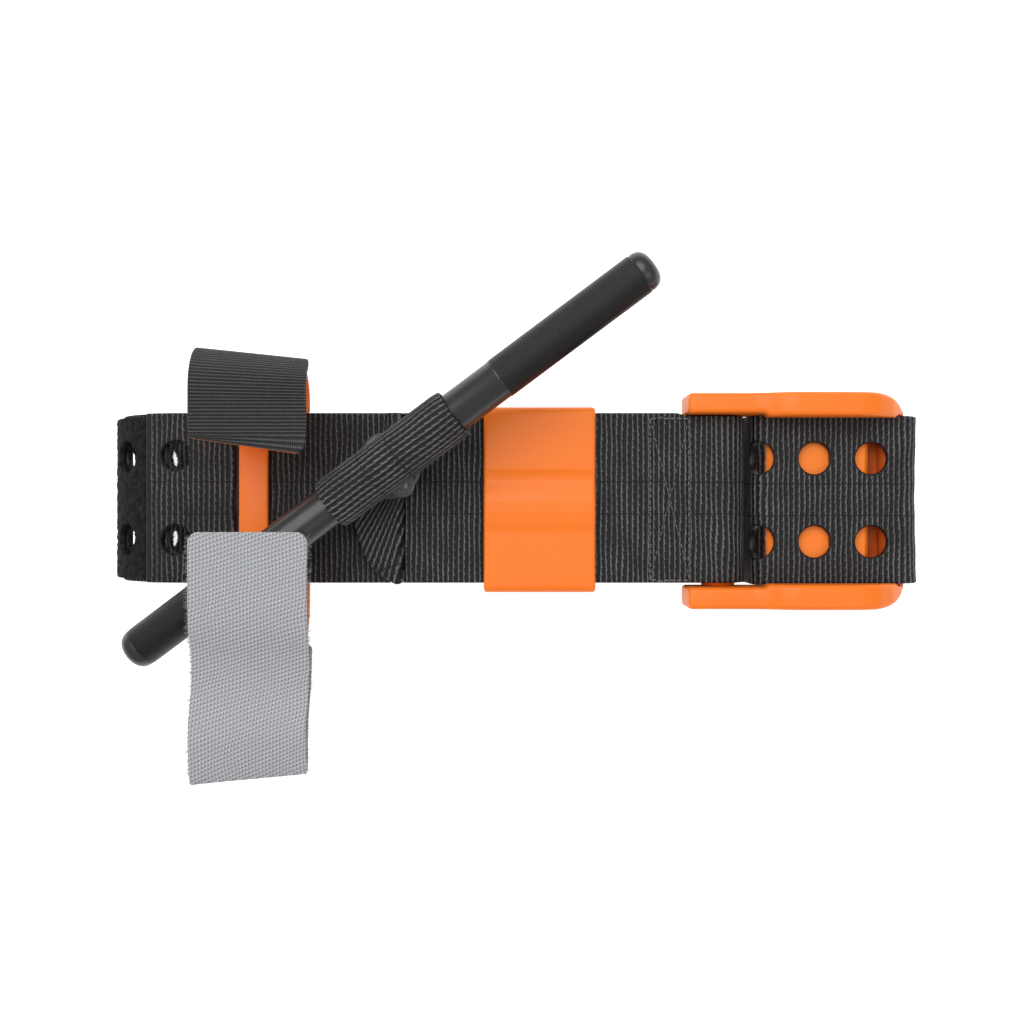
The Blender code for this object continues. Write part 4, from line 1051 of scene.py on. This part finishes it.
# ---------------------------------------------------------------- grey retention strap
grey_path = Path([(-7.4, ARM_TOP + 0.9), (-24.0, ARM_TOP + 0.9), (-27.5, ARM_TOP + 0.45), (-30.5, ARM_TOP - 0.6), (-33.5, ARM_TOP - 1.9), (-37.0, ARM_TOP - 2.7), (-41.0, ARM_TOP - 2.85),
                  (-46.0, ARM_TOP - 2.4), (-51.0, ARM_TOP - 1.85), (-56.0, ARM_TOP - 2.3), (-59.3, ARM_TOP - 3.3)], 3.0)
fold_end = grey_path.q[-1]
grey_full = Path([tuple(p) for p in grey_path.q[::20]] + [(-60.2, ARM_TOP - 4.0), (-59.4, ARM_TOP - 4.9), (-54.0, ARM_TOP - 5.0), (-48.0, ARM_TOP - 5.2), (-41.0, ARM_TOP - 5.7), (-37.0, ARM_TOP - 5.6),
                                                          (-33.4, ARM_TOP - 5.9), (-32.95, ARM_TOP - 7.5), (-32.9, ARM_TOP - 9.5), (-32.9, ARM_TOP - 16.3)], 0.9)


def drape(co):
    """Slack waves in the free length, and the fold's slant."""
    x, y, z = co[:, 0].copy(), co[:, 1].copy(), co[:, 2].copy()
    free = ease((-y - 30) / 14)
    z += free * (0.3 * np.sin((x + 56) / 5.0 + y / 9.0) + 0.3 * np.sin(y / 2.9))
    y += 0.1 * (x + 55.8) * ease((-y - 40) / 20)
    x += 0.12 * np.sin(y / 7.5) * ease((-y - 20) / 20) - 0.55 * ease((-y - 33) / 16)
    # the sewn end lies against the hook, which is narrower there
    w = ease((ARM_TOP - 5.8 - z) / 9) * (y > -34.5)
    x -= 1.9 * w * np.clip((x - CLIP_MID) / 12.3, 0, 1.1)
    return np.column_stack([x, y, z])


strap_s = lines(0, grey_full.length, 0.3)
strap_v = lines(STRAP2[0], STRAP2[1], 0.36)


def twill_relief(u, v, w):
    return 0.6 + 0.25 * np.sin(2 * np.pi * (u * 0.94 - v * 0.33) / 0.87) + 0.15 * np.sin(2 * np.pi * (v * 0.94 + u * 0.33) / 1.24)


grey_strap = sheet("retention_strap", swept(grey_full, "YZ"), strap_s, strap_v, 1.1, TWILL, relief=twill_relief, depth=0.07, weave="plain", seed=91,
                   cut=corners(2.3, 0.0, *STRAP2, 1), loose=0.5, flip=False, hole_seal=0, after=drape)
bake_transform(grey_strap)
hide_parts("retention_strap_base", "retention_strap_anchor", "retention_strap_tail")

# loose ends of yarn along both long edges
r = np.random.default_rng(17)
curves = []
for edge, out in ((STRAP2[0], -1.0), (STRAP2[1], 1.0)):
    n = 460
    s = np.sort(r.uniform(0.8, grey_path.length + 1.0, n))
    a, b = grey_full(s)
    root = np.stack([np.full(n, edge - out * 0.1), a, b + r.uniform(-0.3, 0.3, n)], -1)
    reach = r.gamma(2.2, 0.22, n).clip(0.12, 1.05)
    swing = r.normal(0, 0.3, n)
    k = np.linspace(0, 1, 5)
    x = root[:, 0:1] + out * reach[:, None] * np.sin(k * np.pi * 0.62)[None] * 1.05
    y = root[:, 1:2] + swing[:, None] * k[None] + 0.1 * np.sin(k * np.pi)[None] * r.normal(0, 1, n)[:, None]
    z = root[:, 2:3] - 0.35 * (k ** 2)[None] * r.uniform(-0.5, 1.0, n)[:, None]
    curves.append(np.stack([x, y, z], -1))
curves = np.concatenate(curves)
v_, q_, t_ = tubes(curves, np.linspace(0.045, 0.022, 5)[None])
hairs = make("retention_strap_hairs", drape(v_), q_, t_, mat=TWILL_HAIR)
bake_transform(hairs)

# ---------------------------------------------------------------- keeper
def curve_of(points, soft):
    """y as a smooth function of x through these points."""
    p = np.array(points, float)
    xs = np.linspace(p[0, 0], p[-1, 0], 2000)
    ys = np.interp(xs, p[:, 0], p[:, 1])
    k = max(1, int(soft / (xs[1] - xs[0])))
    w = np.hanning(2 * k + 1)
    w /= w.sum()
    ys = np.convolve(np.concatenate([np.full(k, ys[0]), ys, np.full(k, ys[-1])]), w, "valid")
    return lambda x: np.interp(x, xs, ys)


kx0, kx1, kh, kz0, kz1 = KEEP
m_top = 64
outer = []


HUMP = curve_of([(-7.4, 0.0), (-6.9, 0.1), (-5.6, 0.38), (-3.2, 0.6), (-0.8, 0.62), (0.8, 0.40), (2.2, -0.05), (3.2, -0.40), (4.2, -0.50), (5.3, -0.34), (6.1, -0.08), (6.4, 0.0)], 0.5)
KEEP_Y = -0.42


def hump(y):
    return HUMP(y + KEEP_Y)


for y, z in arc(kh - 1.6, kz0 + 1.6, 1.6, -90, 0, 7) + arc(kh - 1.6, kz1 - 1.6, 1.6, 0, 90, 7):
    outer.append((y, z))
for y in np.concatenate([np.linspace(17.5, 7.2, 8), np.linspace(6.9, -7.1, 64), np.linspace(-7.6, -17.5, 8)]):
    outer.append((y, kz1 + (float(hump(y)) if -7.1 < y < 6.9 else 0.0)))
for y, z in arc(kh - 1.6, kz1 - 1.6, 1.6, 90, 0, 7) + arc(kh - 1.6, kz0 + 1.6, 1.6, 0, -90, 7):
    outer.append((-y, z))
for y in np.linspace(-17.5, 17.5, 16):
    outer.append((y, kz0))
outer = np.array(outer)
inner = np.stack([np.clip(outer[:, 0], -19.5, 19.5), np.clip(outer[:, 1], 31.6, 36.1)], -1)
around = outer.shape[0]
ir = 0.35
# a closed section in (x, depth), depth 0 at the inner face and 1 at the outer
section = []
R = 0.7
for a in np.linspace(0, 90, 6):
    section.append((kx0 + R * (1 - math.cos(math.radians(a))), 1.0, -R * (1 - math.sin(math.radians(a)))))
for xx in np.linspace(kx0 + R + 0.6, kx1 - R - 0.6, 20):
    section.append((xx, 1.0, 0.0))
for a in np.linspace(90, 0, 6):
    section.append((kx1 - R * (1 - math.cos(math.radians(a))), 1.0, -R * (1 - math.sin(math.radians(a)))))
for a in np.linspace(0, 90, 4):
    section.append((kx1 - ir * (1 - math.cos(math.radians(a))), 0.0, ir * (1 - math.sin(math.radians(a)))))
for xx in np.linspace(kx1 - ir - 0.6, kx0 + ir + 0.6, 20):
    section.append((xx, 0.0, 0.0))
for a in np.linspace(90, 0, 4):
    section.append((kx0 + ir * (1 - math.cos(math.radians(a))), 0.0, ir * (1 - math.sin(math.radians(a)))))
depth_dir = outer - inner
length = np.linalg.norm(depth_dir, axis=1, keepdims=True)
depth_dir = depth_dir / np.maximum(length, 1e-6)
ring = np.zeros((around, len(section), 3))
for j, (xx, w, off) in enumerate(section):
    yz = inner + (outer - inner) * w + depth_dir * off
    ring[:, j, 0], ring[:, j, 1:] = xx, yz
ring[:, :, 1] += KEEP_Y
idx = np.arange(around * len(section)).reshape(around, len(section))
a_, b_ = np.roll(idx, -1, axis=0), np.roll(idx, -1, axis=1)
c_ = np.roll(a_, -1, axis=1)
quads = np.stack([idx, b_, c_, a_], -1).reshape(-1, 4)
keeper = make("keeper_body", ring.reshape(-1, 3), quads, mat=ORANGE)
bm = bmesh.new()
bm.from_mesh(keeper.data)
bmesh.ops.recalc_face_normals(bm, faces=bm.faces)
bm.to_mesh(keeper.data)
bm.free()
keeper.data.set_sharp_from_angle(angle=math.radians(38))
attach(keeper, "keeper")
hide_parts("keeper")


# ---------------------------------------------------------------- buckle
rail_top = curve_of([(39.2, 40.5), (42.0, 40.7), (54.0, 40.8), (57.0, 41.6), (59.5, 42.9), (62.5, 43.7), (70.0, 43.7), (77.0, 43.4), (80.8, 42.0), (84.6, 39.0), (87.6, 35.0), (88.8, 32.0)], 1.2)
rail_low = curve_of([(39.2, 26.6), (41.0, 26.4), (86.0, 26.3), (88.8, 27.6)], 0.8)


def rail(inside, outside, sign):
    """One rail. Its inner face steps in over the belt where it is high; both ends are rounded, the far one like a ski tip."""
    x0, x1 = 39.0, 88.0
    stations = np.concatenate([x0 + 0.9 * (1 - np.cos(np.linspace(0.05, np.pi / 2, 12))), np.linspace(x0 + 1.9, 80.0, 84), 80.0 + 8.0 * np.sin(np.linspace(0.03, np.pi / 2 - 0.05, 34))])
    rings = []
    for x in stations:
        zt, zb = float(rail_top(x)), float(rail_low(x))
        yi = inside - sign * 0.75 * float(ease((x - 55.6) / 1.2))  # steps in by the lip
        yo = outside
        left = max(0.0, 1 - (x - x0) / 0.9)
        round_l = 0.9 * (1 - math.sqrt(max(0.0, 1 - left ** 2)))
        right_ = max(0.0, (x - 79.0) / 9.0)
        round_r = 4.3 * (1 - math.sqrt(max(0.0, 1 - min(1.0, right_) ** 2)))
        yo = yo - sign * (round_l + round_r)
        yi_top = yi + sign * (round_l * 0.7)
        zt -= round_l * 0.9
        zb += round_l * 0.9
        if abs(yo - yi_top) < 0.6:
            yo = yi_top + sign * 0.6
        if zt - zb < 1.2:
            zt = zb + 1.2
        lo_y, hi_y = sorted((yi_top, yo))
        r_ = min(1.15, (hi_y - lo_y) / 2.05, (zt - zb) / 2.05)
        pts = []
        lip_hi = max(min(36.7, zt - r_ - 0.1), zb + r_ + 0.2)
        lip_lo = max(min(36.4, lip_hi - 0.3), zb + r_ + 0.1)
        for cx, cz, a0 in ((hi_y - r_, zt - r_, 0), (lo_y + r_, zt - r_, 90), (lo_y + r_, zb + r_, 180), (hi_y - r_, zb + r_, 270)):
            for a in np.linspace(a0, a0 + 90, 7):
                pts.append((x, cx + r_ * math.cos(math.radians(a)), cz + r_ * math.sin(math.radians(a))))
            if sign > 0 and a0 == 90:
                pts += [(x, lo_y, lip_hi), (x, lo_y, lip_lo)]
            if sign < 0 and a0 == 270:
                pts += [(x, hi_y, lip_lo), (x, hi_y, lip_hi)]
        rings.append(pts)
    return loft_arrays(rings)


# below the lip the inner face is set back, so that the belt has room
v1, q1, t1 = rail(RAIL_IN[1] - 0.2, RAIL_OUT[1], 1)
v2, q2, t2 = rail(RAIL_IN[0], RAIL_OUT[0], -1)
for v_, sign, inside in ((v1, 1, RAIL_IN[1] - 0.2), (v2, -1, RAIL_IN[0])):
    back = (v_[:, 2] < 36.6) & ((v_[:, 1] - inside) * sign < 0)
    v_[back, 1] = inside
mid_y = (RAIL_IN[0] + RAIL_IN[1]) / 2
span = RAIL_IN[1] - RAIL_IN[0]
floor_plate = box_arrays((60.0, RAIL_IN[0] - 0.6, 26.6), (84.5, RAIL_IN[1] + 0.6, 28.3), 0.3)
end_bar = lathe_arrays([(0, span / 2 + 0.8), (2.8, span / 2 + 0.8), (2.9, span / 2 + 0.7), (2.9, -span / 2 - 0.7), (2.8, -span / 2 - 0.8), (0, -span / 2 - 0.8)], (86.4, mid_y, 29.4), (0, 1, 0), 48)
v_, q_, t_ = join_arrays([(v1, q1, t1), (v2, q2, t2)])
buckle = make("buckle", v_, q_, t_, mat=ORANGE)
bm = bmesh.new()
bm.from_mesh(buckle.data)
bmesh.ops.recalc_face_normals(bm, faces=bm.faces)
bm.to_mesh(buckle.data)
bm.free()
buckle.data.set_sharp_from_angle(angle=math.radians(45))
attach(buckle, "buckle")
# floor plate and end bar take the darker orange, painted shade for the shadow inside the buckle
v_, q_, t_ = join_arrays([floor_plate, end_bar])
buckle_floor = make("buckle_floor", v_, q_, t_, mat=ORANGE_PAINTED_SHADE)
buckle_floor.data.set_sharp_from_angle(angle=math.radians(45))
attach(buckle_floor, "buckle")
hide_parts("buckle_frame")

half_in, half_out = span / 2 - 0.3, (RAIL_OUT[1] - RAIL_OUT[0]) / 2
pin_half = [(0, half_out), (1.9, half_out), (2.15, half_out - 0.2), (2.2, half_out - 0.5), (2.2, half_in + 0.05), (3.5, half_in), (PIN_R, half_in - 0.3)]
v_, q_, t_ = lathe_arrays(pin_half + [(rr, -zz) for rr, zz in reversed(pin_half)], (PIN[0], (RAIL_OUT[0] + RAIL_OUT[1]) / 2, PIN[1]), (0, 1, 0), 64)
v_[:, 1] = np.where(np.abs(v_[:, 1]) < 30, v_[:, 1], v_[:, 1])
pin = make("hinge_pin", v_, q_, t_, mat=ORANGE)
pin.data.set_sharp_from_angle(angle=math.radians(45))
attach(pin, "buckle")
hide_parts("buckle_pin")

# ---------------------------------------------------------------- slider springs
for name, y in (("slider_spring_lower", BELT_Y - 5.0), ("slider_spring_upper", BELT_Y + 4.6)):
    a = np.linspace(0, 3.2 * 2 * np.pi, 90)
    coil = np.stack([81.3 + 1.9 * np.clip((a - 1.5) / (a[-1] - 3.0), 0, 1), y + np.cos(a), 31.1 + np.sin(a)], -1)
    v_, q_, t_ = tubes(coil[None], 0.17, 8)
    coil = make(name.replace("slider_", "") + "_coil", v_, q_, t_, mat=STEEL)
    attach(coil, "buckle")
    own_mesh(coil)
    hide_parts(name)

# ---------------------------------------------------------------- nodes that keep their own shape
for name, mat in (("slider_plate", ORANGE_IN), ("lock_prongs", STEEL)):
    o = NODES[name]
    o.data.materials.clear()
    o.data.materials.append(mat)
plate_edge = NODES["slider_plate"].modifiers.new("edge", "BEVEL")
plate_edge.width = 0.25 * MM
plate_edge.segments = 2
plate_edge.limit_method = "ANGLE"
plate_edge.angle_limit = math.radians(50)

# ---------------------------------------------------------------- floor, light and camera
scene = bpy.context.scene
bm = bmesh.new()
bmesh.ops.create_grid(bm, x_segments=1, y_segments=1, size=6.0)
mesh = bpy.data.meshes.new("floor")
bm.to_mesh(mesh)
bm.free()
floor = bpy.data.objects.new("floor", mesh)
floor.location = (0, 0, -0.0004)
scene.collection.objects.link(floor)
fm = bpy.data.materials.new("floor_white")
fm.use_nodes = True
fb = fm.node_tree.nodes["Principled BSDF"]
fb.inputs["Base Color"].default_value = (0.8, 0.8, 0.8, 1)
fb.inputs["Roughness"].default_value = 0.9
fb.inputs["Specular IOR Level"].default_value = 0.0
fb.inputs["Emission Color"].default_value = (1, 1, 1, 1)
fb.inputs["Emission Strength"].default_value = 0.75
floor.data.materials.append(fm)

world = bpy.data.worlds.new("studio")
scene.world = world
world.use_nodes = True
world.node_tree.nodes["Background"].inputs["Color"].default_value = (1, 1, 1, 1)
world.node_tree.nodes["Background"].inputs["Strength"].default_value = 0.50


def area(name, at, look, size, power):
    light = bpy.data.lights.new(name, "AREA")
    light.shape = "DISK"
    light.size = size
    light.energy = power
    o = bpy.data.objects.new(name, light)
    o.location = at
    o.rotation_mode = "QUATERNION"
    o.rotation_quaternion = (Vector(look) - Vector(at)).to_track_quat("-Z", "Y")
    scene.collection.objects.link(o)
    return o


area("key", (-0.22, 0.36, 0.85), (0, 0, 0.03), 0.95, 6.4)
area("fill", (0.42, -0.25, 0.7), (0, 0, 0.03), 0.5, 0.8)

camera = bpy.data.objects.new("camera", bpy.data.cameras.new("camera"))
camera.data.lens = 50
camera.data.sensor_width = 36
camera.data.clip_start = 0.01
camera.location = (0, -0.00317, 0.3543)
camera.rotation_euler = (0, 0, 0)
scene.collection.objects.link(camera)
scene.camera = camera
scene.view_settings.view_transform = "Standard"
